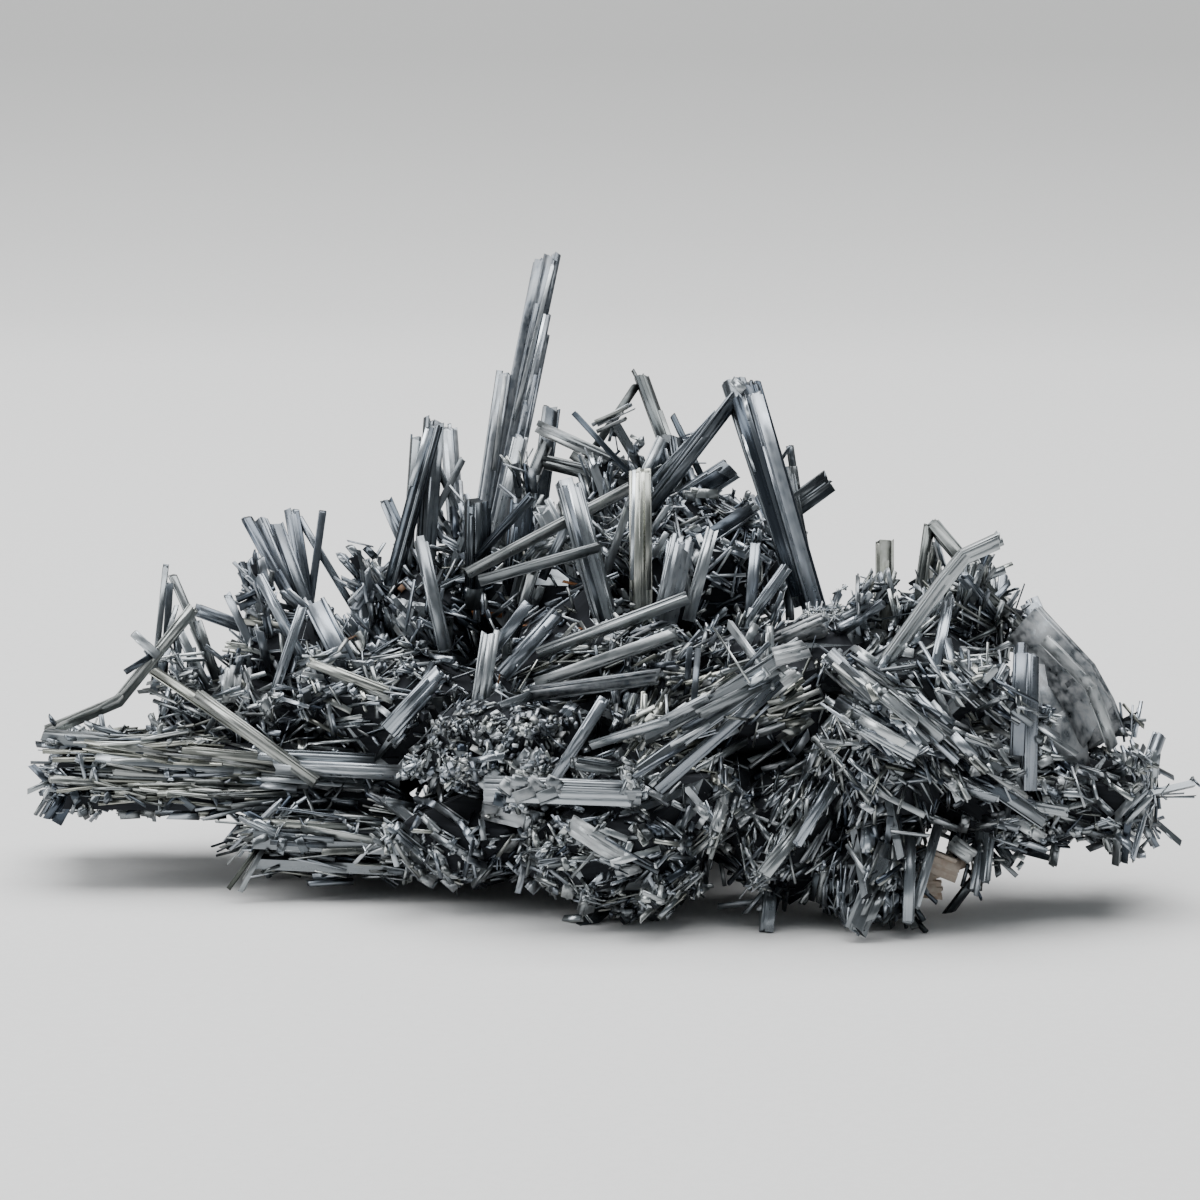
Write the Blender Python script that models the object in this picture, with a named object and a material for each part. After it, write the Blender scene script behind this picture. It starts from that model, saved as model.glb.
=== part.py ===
"""Stibnite crystal spray: a hand-sized piece broken from a vein, with steel-grey prisms standing every way
out of a dense mass of smaller blades. It rests on the flat spots of its broken underside.

Places are read off a sight board: an upright drawing board, leaning back by SIGHT_TILT, seen by an eye
EYE_DISTANCE in front of it. A point is (across, up, away) in millimetres: how far right of the board's
centre and above it the point is seen, and how far behind the board it lies. seen() gives its place.
"""

import math
import random
from collections import namedtuple

import bmesh
import bpy
from mathutils import Matrix, Vector

MM = 0.001

# Sight board
SIGHT_TILT = math.radians(10)
EYE_DISTANCE = 500.0
BOARD_HEIGHT = 27.5

# Crystals
SOCKET_GAP = 0.3  # clearance between a standing crystal and the mass that holds it
ROOT_LENGTH = 4.0  # how far a standing crystal goes on into the mass below its foot
FLAT_OF_WIDTH = 0.52  # a prism's broad face, as a share of its width
CHISEL_SLOPE = 0.9  # rise of the sloping end face over the crystal's width
THIN_OF_WIDTH = 0.72  # thickness of a small crystal over its width
SMALL_ROOT = 2.0
OUTWARD_LEAN = 0.6
HIGH_ROOT = 6.0  # only small crystals rooted lower than this come down
LOW_TIP = 4.0  # to less than this over the floor
WIDEST_NEEDLE = 0.8
NEEDLE_SIDES = 3
SMALL_SIDES = 4
LARGE_SIDES = 6

# Mass
LUMP_UNEVENNESS = 0.17
LEDGE_OVERLAP = 1.5  # a ledge blade's size over its share of the ledge
LEDGE_RAGGEDNESS = 4.0  # how far the blades' broken ends are out of line
SEED = 20

Crystal = namedtuple("Crystal", "route width thickness roll root")
Lump = namedtuple("Lump", "centre radii coat")
Coat = namedtuple("Coat", "lean scatter count length width")
Stack = namedtuple("Stack", "across up away rows files droop")


def one(foot, tip, width, thickness, roll=0.0, root=ROOT_LENGTH):
    """A straight crystal from its foot to its tip."""
    return Crystal((foot, tip), width, thickness, roll, root)


def bent(route, width, thickness, roll=0.0, root=ROOT_LENGTH):
    """A crystal that bends where its route does."""
    return Crystal(tuple(route), width, thickness, roll, root)


# Standing crystals, each node one crystal or one clump that has grown together
STANDING = {
    "leaning_rod": [bent([(-54.0, -12.6, 0), (-48.2, -10.2, -1), (-40.5, -0.6, -2)], 1.1, 0.9, 20)],
    "ledge_rods": [
        one((-31.8, -15.7, -8.2), (-45.0, -6.8, -6.0), 1.1, 1.0, 10),
        one((-29.6, -17.3, -9.2), (-40.5, -9.3, -7.2), 1.2, 1.0, -15),
    ],
    "left_gable": [
        one((-44.6, -8.0, 1.4), (-43.4, 3.6, 1.2), 0.6, 0.6, 0),
        one((-37.6, -9.4, 1.6), (-42.9, 2.8, 1.2), 1.0, 0.8, 25),
    ],
    "left_bar": [one((-31.0, -4.4, 10), (-40.6, -0.9, 9.4), 1.3, 1.1, 15)],
    "left_needle": [one((-33.6, -7.2, 3), (-37.4, 0.8, 2.6), 0.8, 0.7, 10, root=2)],
    "stout_left": [one((-36.6, -9.6, 5.6), (-33.4, 2.8, 6.0), 2.0, 1.5, 15, root=2)],
    "left_rod": [one((-29.6, -6.2, 0), (-34.2, 2.6, 0), 0.9, 0.8, -20)],
    "fan_front": [
        one((-28.4, -4.6, 6), (-35.5, 8.5, 8), 1.2, 1.0, 10),
        one((-28.2, -5.0, 6.6), (-34.0, 8.2, 8.8), 1.2, 1.1, -15),
        one((-27.6, -5.4, 6), (-32.4, 7.8, 8), 1.2, 1.0, 30),
    ],
    "fan_back": [
        one((-28.8, -3.2, 12), (-30.9, 9.4, 13), 1.5, 1.2, 0),
        one((-24.4, -1.2, 13), (-30.2, 8.4, 13), 0.7, 0.7, 0),
        one((-29.4, -3.4, 13), (-27.7, 9.0, 12), 0.8, 0.8, 0),
    ],
    "fan_low": [one((-24.8, -7.6, 0), (-28.6, -0.2, 2), 2.3, 1.3, 10)],
    "slim_prop": [one((-32.4, -8.8, -3), (-29.7, -0.6, -2), 0.85, 0.8, 20)],
    "stub_pair": [
        one((-24.8, -6.2, 7), (-23.9, 2.7, 8), 1.3, 1.0, 0),
        one((-24.0, -6.0, 6.6), (-23.1, 3.3, 7), 0.8, 0.8, 20),
    ],
    "lying_rod": [one((-17.6, -10.6, -7), (-29.3, -6.1, -7), 1.0, 0.9, 15)],
    "left_pillar": [one((-15.8, -3.6, -4.5), (-18.0, 6.4, -3), 1.4, 1.1, 8)],
    "left_tower": [
        one((-21.4, -0.6, 6), (-16.5, 17.6, 9), 1.4, 1.3, -35),
        one((-17.8, -0.6, 8.0), (-16.6, 18.4, 10.4), 2.0, 1.6, 10),
        one((-19.4, 2.0, 8.0), (-18.4, 16.6, 8.8), 1.1, 1.0, 0),
        one((-18.6, 4.6, 9.4), (-13.6, 14.3, 10.2), 0.7, 0.7, 0),
        one((-12.8, 5.6, 10.4), (-16.9, 14.8, 10.0), 0.7, 0.6, 0),
    ],
    "tower_stub": [one((-18.4, 3.0, 16), (-21.5, 10.2, 17), 1.3, 1.2, 0)],
    "pale_back_post": [one((-14.0, 3.0, 20), (-15.1, 17.8, 22), 1.8, 1.4, 15)],
    "spire": [
        one((-11.4, 3.0, 15.0), (-4.7, 34.8, 20.5), 1.6, 1.4, 10),
        one((-11.9, 4.0, 15.6), (-5.9, 34.2, 21.2), 1.3, 1.2, -10),
        one((-12.4, 4.0, 15.2), (-9.6, 22.9, 18.8), 1.6, 1.4, 0),
        one((-10.4, 4.0, 14.6), (-5.3, 28.9, 19.4), 1.3, 1.3, 30),
        one((-10.0, 5.0, 14.4), (-6.5, 23.3, 18.0), 1.4, 1.3, 0),
    ],
    "spire_flank": [one((-10.8, 3.4, 12.2), (-7.8, 16.5, 12.6), 1.6, 1.2, 12)],
    "back_peg": [one((-6.8, 4.0, 25), (-4.8, 19.5, 28), 1.9, 1.6, 0)],
    "back_rods": [
        one((5.4, 12.0, 8.6), (-6.4, 17.4, 11.0), 1.3, 1.2, 15, root=0),
        one((4.4, 11.4, 8.2), (-5.8, 13.9, 10.0), 1.3, 1.2, -10, root=0),
        one((-8.8, 7.0, 8.6), (-5.2, 16.0, 10.8), 1.4, 1.3, 0),
    ],
    "crossing_needle": [one((5.6, 9.8, 4.6), (-2.7, 18.8, 5.5), 0.55, 0.55, 0)],
    "roof_pair": [
        one((9.2, 8.4, 11), (4.1, 22.6, 14), 1.5, 1.2, 12),
        one((-1.6, 13.6, 12.6), (3.8, 21.7, 14), 0.8, 0.8, 0),
        one((5.2, 19.4, 13.8), (3.2, 23.1, 14.6), 0.4, 0.4, 0),
        one((-1.6, 13.8, 12.6), (8.0, 8.0, 11.2), 0.9, 0.9, 0),
    ],
    "short_rod": [one((10.6, 11.4, 9), (7.1, 18.8, 10), 0.7, 0.7, 0)],
    "pale_lath": [one((3.4, 10.6, 0), (6.2, 16.4, 1.5), 0.85, 0.6, 0)],
    "peak": [
        one((21.8, -2.0, -2), (14.8, 22.0, 0), 2.1, 1.7, -25),
        one((20.2, 1.0, -0.6), (13.2, 22.3, 1.0), 2.3, 1.7, 20),
        one((5.2, 9.6, 2.6), (13.7, 20.7, 0.4), 1.5, 1.3, 25),
        one((5.0, 11.4, 3.0), (11.8, 18.8, 1.0), 0.9, 0.9, 0),
    ],
    "tab_plate": [
        one((19.2, 9.2, 5.5), (23.3, 12.2, 6.5), 2.3, 0.9, 0),
        one((21.2, 1.4, 4.6), (18.9, 13.6, 6.0), 0.9, 0.9, 0),
        one((19.6, 11.4, 6.0), (19.0, 15.5, 5.2), 0.8, 0.5, 10),
    ],
    "bright_pillar": [one((4.1, -0.6, -5), (4.0, 13.3, -4), 2.1, 1.5, -12)],
    "middle_pillar": [
        one((0.6, -3.4, -7.2), (-3.7, 12.1, -5.2), 1.7, 1.3, 12),
        one((1.3, -2.4, -6.8), (-2.5, 11.8, -4.9), 1.1, 1.0, -20),
    ],
    "middle_bar": [one((-12.4, 3.1, -3.2), (3.1, 11.3, -1.6), 1.0, 0.9, 20, root=1)],
    "cross_bar": [one((-10.6, 2.3, -8.6), (0.2, 5.3, -9.6), 1.0, 0.9, 15)],
    "wedge": [
        one((-12.2, 2.8, 1.5), (-12.2, 10.2, -0.5), 2.3, 2.1, 30),
        one((-12.4, 4.2, 0.2), (-6.7, 10.5, -1.5), 0.85, 0.8, 20, root=0),
    ],
    "dull_block": [one((-8.4, 3.0, 4.0), (-7.8, 10.2, 4.0), 2.3, 1.8, 25)],
    "striated_block": [one((-3.4, 4.8, 2.0), (-6.1, 10.0, 0.6), 2.2, 1.4, 8)],
    "shelf_plates": [
        one((7.4, 9.4, 7.0), (13.4, 13.3, 6.2), 2.4, 1.2, 10, root=0),
        one((9.2, 5.8, 6.6), (15.6, 9.6, 5.8), 1.8, 1.1, -10),
        one((9.0, 4.0, 7.4), (9.8, 12.4, 7.0), 1.5, 1.4, 0),
    ],
    "cup_blade": [one((6.8, -0.6, -8.6), (8.3, 6.5, -8.4), 2.3, 1.4, 12)],
    "fan_blade": [one((9.2, -0.6, -6.6), (11.3, 7.3, -6.2), 1.2, 0.9, 0)],
    "slab_blade": [one((15.0, -1.4, -5.6), (15.6, 5.9, -5.0), 1.1, 0.9, 0)],
    "glint_rod": [one((14.9, -2.0, -8.6), (18.8, 3.5, -9.4), 1.0, 0.9, 20)],
    "arm_top": [one((-4.8, -4.9, -12.4), (9.0, 0.3, -13.4), 1.1, 1.0, 25)],
    "arm_middle": [one((-5.0, -7.9, -14.6), (7.8, -3.3, -15.6), 1.2, 1.0, -15)],
    "arm_low": [one((-5.4, -9.2, -16.6), (6.2, -7.6, -18.4), 1.4, 1.1, 10)],
    "pale_post": [one((-12.0, -10.4, -15), (-10.9, -2.8, -15), 1.6, 1.3, 18)],
    "plug_rod": [one((-8.8, -6.4, -10.5), (-4.1, -1.1, -9.5), 1.6, 1.3, 0)],
    "twin_rod": [one((-9.8, -3.8, -12.6), (-7.0, -0.2, -12.8), 1.1, 0.9, 0)],
    "dull_diagonal": [one((-20.2, -12.0, -11), (-15.4, -6.8, -10), 1.8, 1.3, 12)],
    "sparkling_rod": [one((-3.6, -16.4, -24.0), (0.5, -9.8, -24.6), 1.0, 0.9, 10)],
    "lobe_bent_blade": [bent([(28.2, -6.8, -20), (36.0, 4.2, -19.5), (40.4, 6.2, -20.0)], 1.5, 1.0, 10)],
    "lobe_gable": [
        one((42.4, -3.2, -11), (33.0, 7.9, -10), 1.3, 1.1, 20, root=1),
        one((31.6, -2.0, -10.5), (33.0, 7.8, -10), 1.1, 1.0, 0),
    ],
    "lobe_pillar": [one((28.4, -6.0, -9), (28.4, 6.4, -8), 1.8, 1.3, 10)],
    "lobe_small_pillar": [one((26.2, -5.4, -6), (26.4, 1.9, -5), 1.4, 1.1, 0)],
    "lobe_peg": [one((39.8, -4.6, -6.6), (40.4, 2.9, -6), 1.0, 0.9, 0)],
    "lobe_stub": [one((45.4, -5.6, -6.5), (42.8, 0.1, -6), 1.9, 1.4, 10)],
    "lobe_posts": [
        one((41.7, -14.0, -27), (42.1, -4.0, -26), 1.3, 1.1, 0),
        one((42.9, -17.5, -26.6), (43.1, -5.0, -25.6), 1.4, 1.2, 20),
    ],
    "grey_shell": [
        bent([(43.4, -3.4, -15), (48.4, -8.8, -17), (51.0, -15.6, -16)], 4.6, 1.6, 20),
        one((46.4, -16.6, -15.6), (44.9, -5.6, -15.6), 5.0, 1.0, 0),
    ],
    "corner_peg": [one((54.4, -18.0, -14), (56.1, -13.2, -14), 1.4, 1.2, 0)],
}

# Those with an olive tarnish; the others are blue-grey
OLIVE = {
    "leaning_rod", "ledge_rods", "left_gable", "lying_rod", "left_tower", "back_rods", "roof_pair", "tab_plate",
    "bright_pillar", "middle_bar", "cross_bar", "arm_top", "arm_middle", "arm_low", "lobe_pillar", "lobe_gable",
}

# Big blades that are one with the mass
GROWN_IN = [
    one((-42.0, -14.9, -5.5), (-55.9, -13.4, -5.0), 1.3, 2.4, 0),
    one((-44.5, -14.6, -5.4), (-55.0, -13.9, -4.6), 1.1, 3.0, 0),
    one((-45.5, -19.4, -4.8), (-55.0, -18.6, -4.4), 1.1, 2.6, 0),
    one((-30.0, -19.5, -5.6), (-44.0, -19.0, -5.2), 1.0, 2.2, 0),
    one((-24.0, -15.9, -8.0), (-34.5, -15.4, -7.4), 1.2, 1.6, 10),
    one((-21.0, -17.2, -9.5), (-33.0, -16.6, -8.4), 1.2, 1.6, -10),
    one((-14.0, -25.5, -12), (-21.8, -19.8, -9.5), 1.0, 1.0, 20),
    one((-10.0, -18.9, -27), (4.3, -19.4, -28), 2.3, 1.6, 5),
    one((2.0, -17.0, -26), (-3.0, -16.2, -27), 1.2, 1.4, 0),
    one((16.4, -8.2, -27), (3.1, -17.7, -28), 1.3, 1.1, 15),
    one((16.8, -9.2, -26), (5.6, -19.1, -27), 1.1, 1.0, -10),
    one((17.0, -7.0, -27), (4.2, -13.8, -27), 1.5, 1.1, 10),
    one((18.8, -5.2, -28), (9.6, -11.2, -28), 1.4, 1.2, 0),
    one((24.0, -6.4, -27), (32.8, -14.8, -28), 1.5, 1.3, 0),
    one((25.0, -11.0, -27), (32.0, -15.2, -29), 1.5, 1.3, 20),
    one((28.0, -9.0, -25), (40.5, -17.4, -28), 1.2, 1.1, -20),
    one((36.0, -16.5, -26), (44.6, -22.4, -27), 1.2, 1.1, 0),
    one((28.4, -26.0, -24), (25.5, -33.4, -26), 2.2, 1.4, 15),
    one((31.0, -25.0, -23), (30.8, -32.4, -25), 1.1, 1.0, 0),
    one((33.4, -24.0, -22), (31.4, -31.0, -24), 0.9, 0.9, 0),
    one((22.6, -19.5, -26), (19.6, -24.6, -28), 0.9, 0.8, 0),
    one((19.4, -23.5, -24), (16.2, -27.6, -27), 1.3, 1.0, 0),
    one((38.6, -23.0, -18), (38.0, -28.4, -19), 1.9, 0.9, 30),
    one((17.0, -29.6, -20), (16.6, -33.6, -22), 1.3, 1.2, 0),
]

# Parallel blades that make the two broken ledges on the left
LEDGES = [
    Stack((-54.5, -20.0), (-20.1, -14.4), (-6.0, 9.0), 3, 4, 0.5),
    Stack((-34.6, -12.0), (-25.6, -21.4), (-9.0, 6.0), 3, 3, 1.0),
]

# The dense mass, as lumps of massive stibnite, each with a coat of smaller crystals.
# A coat is lean (right, up, away), scatter, count, length, width.
LUMPS = [
    Lump((-45.0, -17.2, 1), (11, 7, 2.4), Coat((0.3, 0, 0), 0.9, 8, (2, 4.5), (0.7, 1.1))),
    Lump((-36.0, -12.0, 3), (10, 7, 4.6), Coat((0.2, 0.5, 0), 0.8, 9, (3, 6), (0.7, 1.1))),
    Lump((-29.0, -6.5, 6), (8, 7, 5), Coat((-0.2, 1, 0), 0.5, 8, (4, 8), (0.8, 1.3))),
    Lump((-25.0, -23.5, -1), (10, 7, 3), Coat((-0.6, -0.3, -0.3), 0.5, 7, (3, 5), (0.7, 1.2))),
    Lump((-20.0, -12.0, 0), (10, 9, 7.5), Coat((0.5, 0.2, -0.3), 0.8, 9, (3, 7), (1.0, 1.8))),
    Lump((-18.0, -2.5, 10), (8, 7, 6.5), Coat((0, 1, 0), 0.5, 8, (4, 8), (0.9, 1.5))),
    Lump((-10.0, -14.5, -14), (9, 8, 6), Coat((0, 0, 0), 1.0, 9, (1.5, 3), (1.4, 2.4))),
    Lump((-12.0, -23.5, -9), (10, 9, 5), Coat((0.3, -0.3, -0.5), 0.6, 7, (2, 4), (1.2, 2.0))),
    Lump((2.0, -25.0, -16), (11, 9, 6.4), Coat((-0.7, -0.1, -0.4), 0.4, 9, (3, 6), (1.0, 1.8))),
    Lump((-1.0, -10.0, -2), (15, 13, 10), Coat((0.3, 0.3, -0.6), 0.6, 7, (4, 7), (1.0, 1.6))),
    Lump((-4.0, -1.0, 12), (12, 10, 8), Coat((0, 1, -0.3), 0.7, 9, (6, 11), (1.0, 1.6))),
    Lump((10.0, 3.0, 8), (11, 10, 8), Coat((0, 1, -0.2), 0.7, 11, (6, 11), (1.0, 1.7))),
    Lump((14.0, -10.0, -10), (11, 10, 8), Coat((-0.6, -0.3, -0.4), 0.3, 10, (5, 9), (1.0, 1.5))),
    Lump((19.0, -22.0, -14), (9.5, 9, 7.5), Coat((-0.4, -0.8, -0.3), 0.4, 9, (4, 8), (0.9, 1.5))),
    Lump((28.0, -17.0, -17), (8, 9, 8), Coat((0.3, -0.7, -0.3), 0.5, 9, (5, 9), (1.0, 1.5))),
    Lump((7.0, -18.5, -12), (12, 12, 6.5), Coat((0.6, -0.3, -0.4), 0.5, 6, (4, 8), (1.0, 1.6))),
    Lump((26.0, -28.0, -18), (5, 6, 4.6), Coat((0, -1, -0.2), 0.3, 4, (3, 5), (1.0, 1.6))),
    Lump((23.0, -5.5, -8), (7, 8, 5), Coat((0.1, 1, -0.4), 0.8, 7, (2.5, 5), (0.7, 1.1))),
    Lump((33.0, -10.0, -14), (10, 10.5, 8.5), Coat((0.7, -0.5, -0.3), 0.3, 11, (6, 10), (1.0, 1.6))),
    Lump((36.0, -3.0, -9), (7, 6, 4.2), Coat((0, 1, -0.1), 0.6, 8, (4, 8), (1.0, 1.5))),
    Lump((43.0, -19.0, -13), (11, 10, 5.4), Coat((0.7, -0.4, -0.2), 0.4, 9, (4, 8), (1.0, 1.5))),
    Lump((51.0, -19.5, -12), (4.5, 8, 4.4), Coat((0.4, -0.3, 0), 0.7, 6, (3, 5), (0.9, 1.4))),
    Lump((-9.0, -17.0, 11), (11, 9, 9), Coat((-0.2, 0.2, 0.8), 0.5, 4, (4, 8), (1.1, 1.8))),
    Lump((5.0, -14.5, 16), (11, 9, 12.5), Coat((0, 0.6, 0.8), 0.5, 3, (5, 9), (1.2, 2.0))),
    Lump((15.0, -13.0, 8), (9, 9, 11), Coat((0.4, 0.4, 0.8), 0.5, 4, (5, 9), (1.1, 1.8))),
]

# Hollows that open in its front
PITS = [
    Lump((18.5, -20.0, -24), (3.5, 4, 2.8), None),
    Lump((-6.5, -23.8, -24), (4, 4, 2.4), None),
    Lump((-10.0, 0.0, -4), (5, 5, 3.2), None),
    Lump((10.0, -6.5, -17), (4, 4, 2.8), None),
]


def seen(across, up, away):
    """The world place, in metres, of a point given on the sight board."""
    spread = (EYE_DISTANCE + away) / EYE_DISTANCE
    right = Vector((1, 0, 0))
    upward = Vector((0, math.sin(SIGHT_TILT), math.cos(SIGHT_TILT)))
    inward = Vector((0, math.cos(SIGHT_TILT), -math.sin(SIGHT_TILT)))
    board_centre = Vector((0, 0, BOARD_HEIGHT))
    return (board_centre + right * across * spread + upward * up * spread + inward * away) * MM


def clear_scene():
    for obj in list(bpy.data.objects):
        bpy.data.objects.remove(obj)


def stibnite(name, colour, roughness):
    """Metallic lead-grey, the lustre of antimony sulphide."""
    material = bpy.data.materials.new(name)
    material.use_nodes = True
    shader = material.node_tree.nodes["Principled BSDF"]
    shader.inputs["Base Color"].default_value = (*colour, 1.0)
    shader.inputs["Metallic"].default_value = 0.9
    shader.inputs["Roughness"].default_value = roughness
    return material


def section(width, thickness, sides):
    """Corners of a crystal's cross-section: a wedge, a lozenge, or a hexagon with two broad faces."""
    half, depth = width / 2, thickness / 2
    if sides == NEEDLE_SIDES:
        return [(half, 0), (-half, depth), (-half, -depth)]
    if sides == SMALL_SIDES:
        return [(half, 0), (0, depth), (-half, 0), (0, -depth)]
    flat = half * FLAT_OF_WIDTH
    return [(half, 0), (flat, depth), (-flat, depth), (-half, 0), (-flat, -depth), (flat, -depth)]


def crystal_mesh(route, width, thickness, roll, sides=LARGE_SIDES, grow=0.0):
    """A closed prism along a route in metres, with a sloping end face. grow makes it larger all round."""
    bm = bmesh.new()
    corners = section(width + 2 * grow, thickness + 2 * grow, sides)
    directions = [(b - a).normalized() for a, b in zip(route, route[1:])]
    rings = []
    for index, point in enumerate(route):
        before = directions[max(index - 1, 0)]
        after = directions[min(index, len(directions) - 1)]
        along = (before + after).normalized()
        across = along.cross(Vector((0, 1, 0)))
        if across.length < 0.2:
            across = along.cross(Vector((0, 0, 1)))
        across.normalize()
        deep = along.cross(across)
        turn = Matrix.Rotation(math.radians(roll), 3, along)
        across, deep = turn @ across, turn @ deep
        is_tip = index == len(route) - 1
        overrun = along * grow * (1 if is_tip else -1 if index == 0 else 0)
        ring = []
        for u, v in corners:
            slope = along * (-abs(u - corners[0][0]) * CHISEL_SLOPE / 2) if is_tip else Vector()
            ring.append(bm.verts.new(point + overrun + across * u + deep * v + slope))
        rings.append(ring)
    for low, high in zip(rings, rings[1:]):
        for i in range(sides):
            j = (i + 1) % sides
            bm.faces.new((low[i], low[j], high[j], high[i]))
    bm.faces.new(rings[0])
    bm.faces.new(list(reversed(rings[-1])))
    bmesh.ops.recalc_face_normals(bm, faces=bm.faces)
    mesh = bpy.data.meshes.new("crystal")
    bm.to_mesh(mesh)
    bm.free()
    return mesh


def depth_first(radii):
    """Radii (x, y, z) in the order of board coordinates, (across, up, away)."""
    return radii[0], radii[2], radii[1]


def lump_mesh(lump, rng):
    """A knobbly boulder of massive stibnite."""
    bm = bmesh.new()
    bmesh.ops.create_icosphere(bm, subdivisions=1, radius=1)
    centre = seen(*lump.centre)
    for vertex in bm.verts:
        swell = 1 + rng.uniform(-LUMP_UNEVENNESS, LUMP_UNEVENNESS)
        vertex.co = centre + Vector(r * swell * k for r, k in zip(lump.radii, vertex.co)) * MM
    mesh = bpy.data.meshes.new("lump")
    bm.to_mesh(mesh)
    bm.free()
    return mesh


def buried(route, depth):
    """The route with its first point moved back along the crystal, into the mass."""
    first, second = route[0], route[1]
    return [first - (second - first).normalized() * depth, *route[1:]]


def standing_meshes(crystals, grow=0.0):
    """The crystals of one clump, each with its root; grow makes them socket cutters."""
    return [
        crystal_mesh(
            buried([seen(*point) for point in c.route], c.root * MM),
            c.width * MM,
            c.thickness * MM,
            c.roll,
            grow=grow,
        )
        for c in crystals
    ]


def grown_in_meshes():
    return [
        crystal_mesh([seen(*point) for point in c.route], c.width * MM, c.thickness * MM, c.roll)
        for c in GROWN_IN
    ]


def stack_meshes(stack, rng):
    """A ledge of parallel blades whose broken ends don't line up."""
    meshes = []
    left, right = stack.across
    low, high = stack.up
    near, far = stack.away
    tall = (high - low) / stack.rows
    deep = (far - near) / stack.files
    for row in range(stack.rows):
        for file in range(stack.files):
            up = low + (row + rng.uniform(0.35, 0.65)) * tall
            away = near + (file + rng.uniform(0.35, 0.65)) * deep
            start = left + rng.uniform(0.0, LEDGE_RAGGEDNESS)
            foot = seen(right, up - stack.droop, away + rng.uniform(-1, 1))
            roll = rng.uniform(-10, 10)
            size = (tall * LEDGE_OVERLAP * MM, deep * LEDGE_OVERLAP * MM)
            meshes.append(crystal_mesh([foot, seen(start, up, away)], *size, roll))
    return meshes


def inside(point, lump):
    return sum(((p - c) / r) ** 2 for p, c, r in zip(point, lump.centre, depth_first(lump.radii))) < 1


def coat_meshes(lump, rng):
    """Small crystals all over the open side of a lump, leaning one way more than another."""
    meshes = []
    coat = lump.coat
    others = [other for other in LUMPS if other is not lump]
    while len(meshes) < coat.count:
        outward = Vector(rng.gauss(0, 1) for _ in range(3)).normalized()
        root = Vector(c + r * k for c, r, k in zip(lump.centre, depth_first(lump.radii), outward))
        if any(inside(root, other) for other in others):
            continue
        stray = Vector(rng.gauss(0, 1) for _ in range(3)).normalized() * coat.scatter
        along = (Vector(coat.lean) + outward * OUTWARD_LEAN + stray).normalized()
        route = [seen(*(root - along * SMALL_ROOT)), seen(*(root + along * rng.uniform(*coat.length)))]
        if route[0].z > HIGH_ROOT * MM and route[1].z < LOW_TIP * MM:
            continue
        width = rng.uniform(*coat.width)
        sides = NEEDLE_SIDES if width < WIDEST_NEEDLE else SMALL_SIDES
        roll = rng.uniform(0, 180)
        meshes.append(crystal_mesh(route, width * MM, width * THIN_OF_WIDTH * MM, roll, sides=sides))
    return meshes


def box_mesh(low, high):
    bm = bmesh.new()
    bmesh.ops.create_cube(bm, size=1)
    for vertex in bm.verts:
        vertex.co = Vector(a + (b - a) * (k + 0.5) for a, b, k in zip(low, high, vertex.co)) * MM
    mesh = bpy.data.meshes.new("box")
    bm.to_mesh(mesh)
    bm.free()
    return mesh


def helpers(meshes):
    """A collection that holds the operands of one Boolean."""
    collection = bpy.data.collections.new("operands")
    bpy.context.scene.collection.children.link(collection)
    for mesh in meshes:
        obj = bpy.data.objects.new("operand", mesh)
        obj.hide_render = True
        obj.display_type = "WIRE"
        collection.objects.link(obj)
    return collection


def add_boolean(obj, operation, meshes):
    modifier = obj.modifiers.new(operation, "BOOLEAN")
    modifier.operation = operation
    modifier.solver = "EXACT"
    modifier.operand_type = "COLLECTION"
    modifier.collection = helpers(meshes)


def apply_booleans(obj):
    """Replaces the object's mesh by what its Booleans make of it, and removes their operands."""
    bpy.context.view_layer.update()
    evaluated = obj.evaluated_get(bpy.context.evaluated_depsgraph_get())
    made = bpy.data.meshes.new_from_object(evaluated)
    collections = [modifier.collection for modifier in obj.modifiers]
    obj.modifiers.clear()
    obj.data = made
    for collection in collections:
        for operand in list(collection.objects):
            bpy.data.objects.remove(operand)
        bpy.data.collections.remove(collection)


def keep_largest_body(obj):
    """Drops the splinters that a socket has cut off the mass."""
    bm = bmesh.new()
    bm.from_mesh(obj.data)
    unseen = set(bm.verts)
    bodies = []
    while unseen:
        body, edge = set(), {unseen.pop()}
        while edge:
            vertex = edge.pop()
            body.add(vertex)
            for link in vertex.link_edges:
                other = link.other_vert(vertex)
                if other in unseen:
                    unseen.discard(other)
                    edge.add(other)
        bodies.append(body)
    bodies.sort(key=len, reverse=True)
    splinters = [vertex for body in bodies[1:] for vertex in body]
    bmesh.ops.delete(bm, geom=splinters, context="VERTS")
    bm.to_mesh(obj.data)
    bm.free()


def add_node(name, mesh, material):
    obj = bpy.data.objects.new(name, mesh)
    bpy.context.scene.collection.objects.link(obj)
    obj.data.materials.clear()
    obj.data.materials.append(material)
    return obj


def make_standing(name, crystals, material):
    meshes = standing_meshes(crystals)
    obj = add_node(name, meshes[0], material)
    if len(meshes) > 1:
        add_boolean(obj, "UNION", meshes[1:])
        apply_booleans(obj)
        obj.data.materials.append(material)
    return obj


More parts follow.
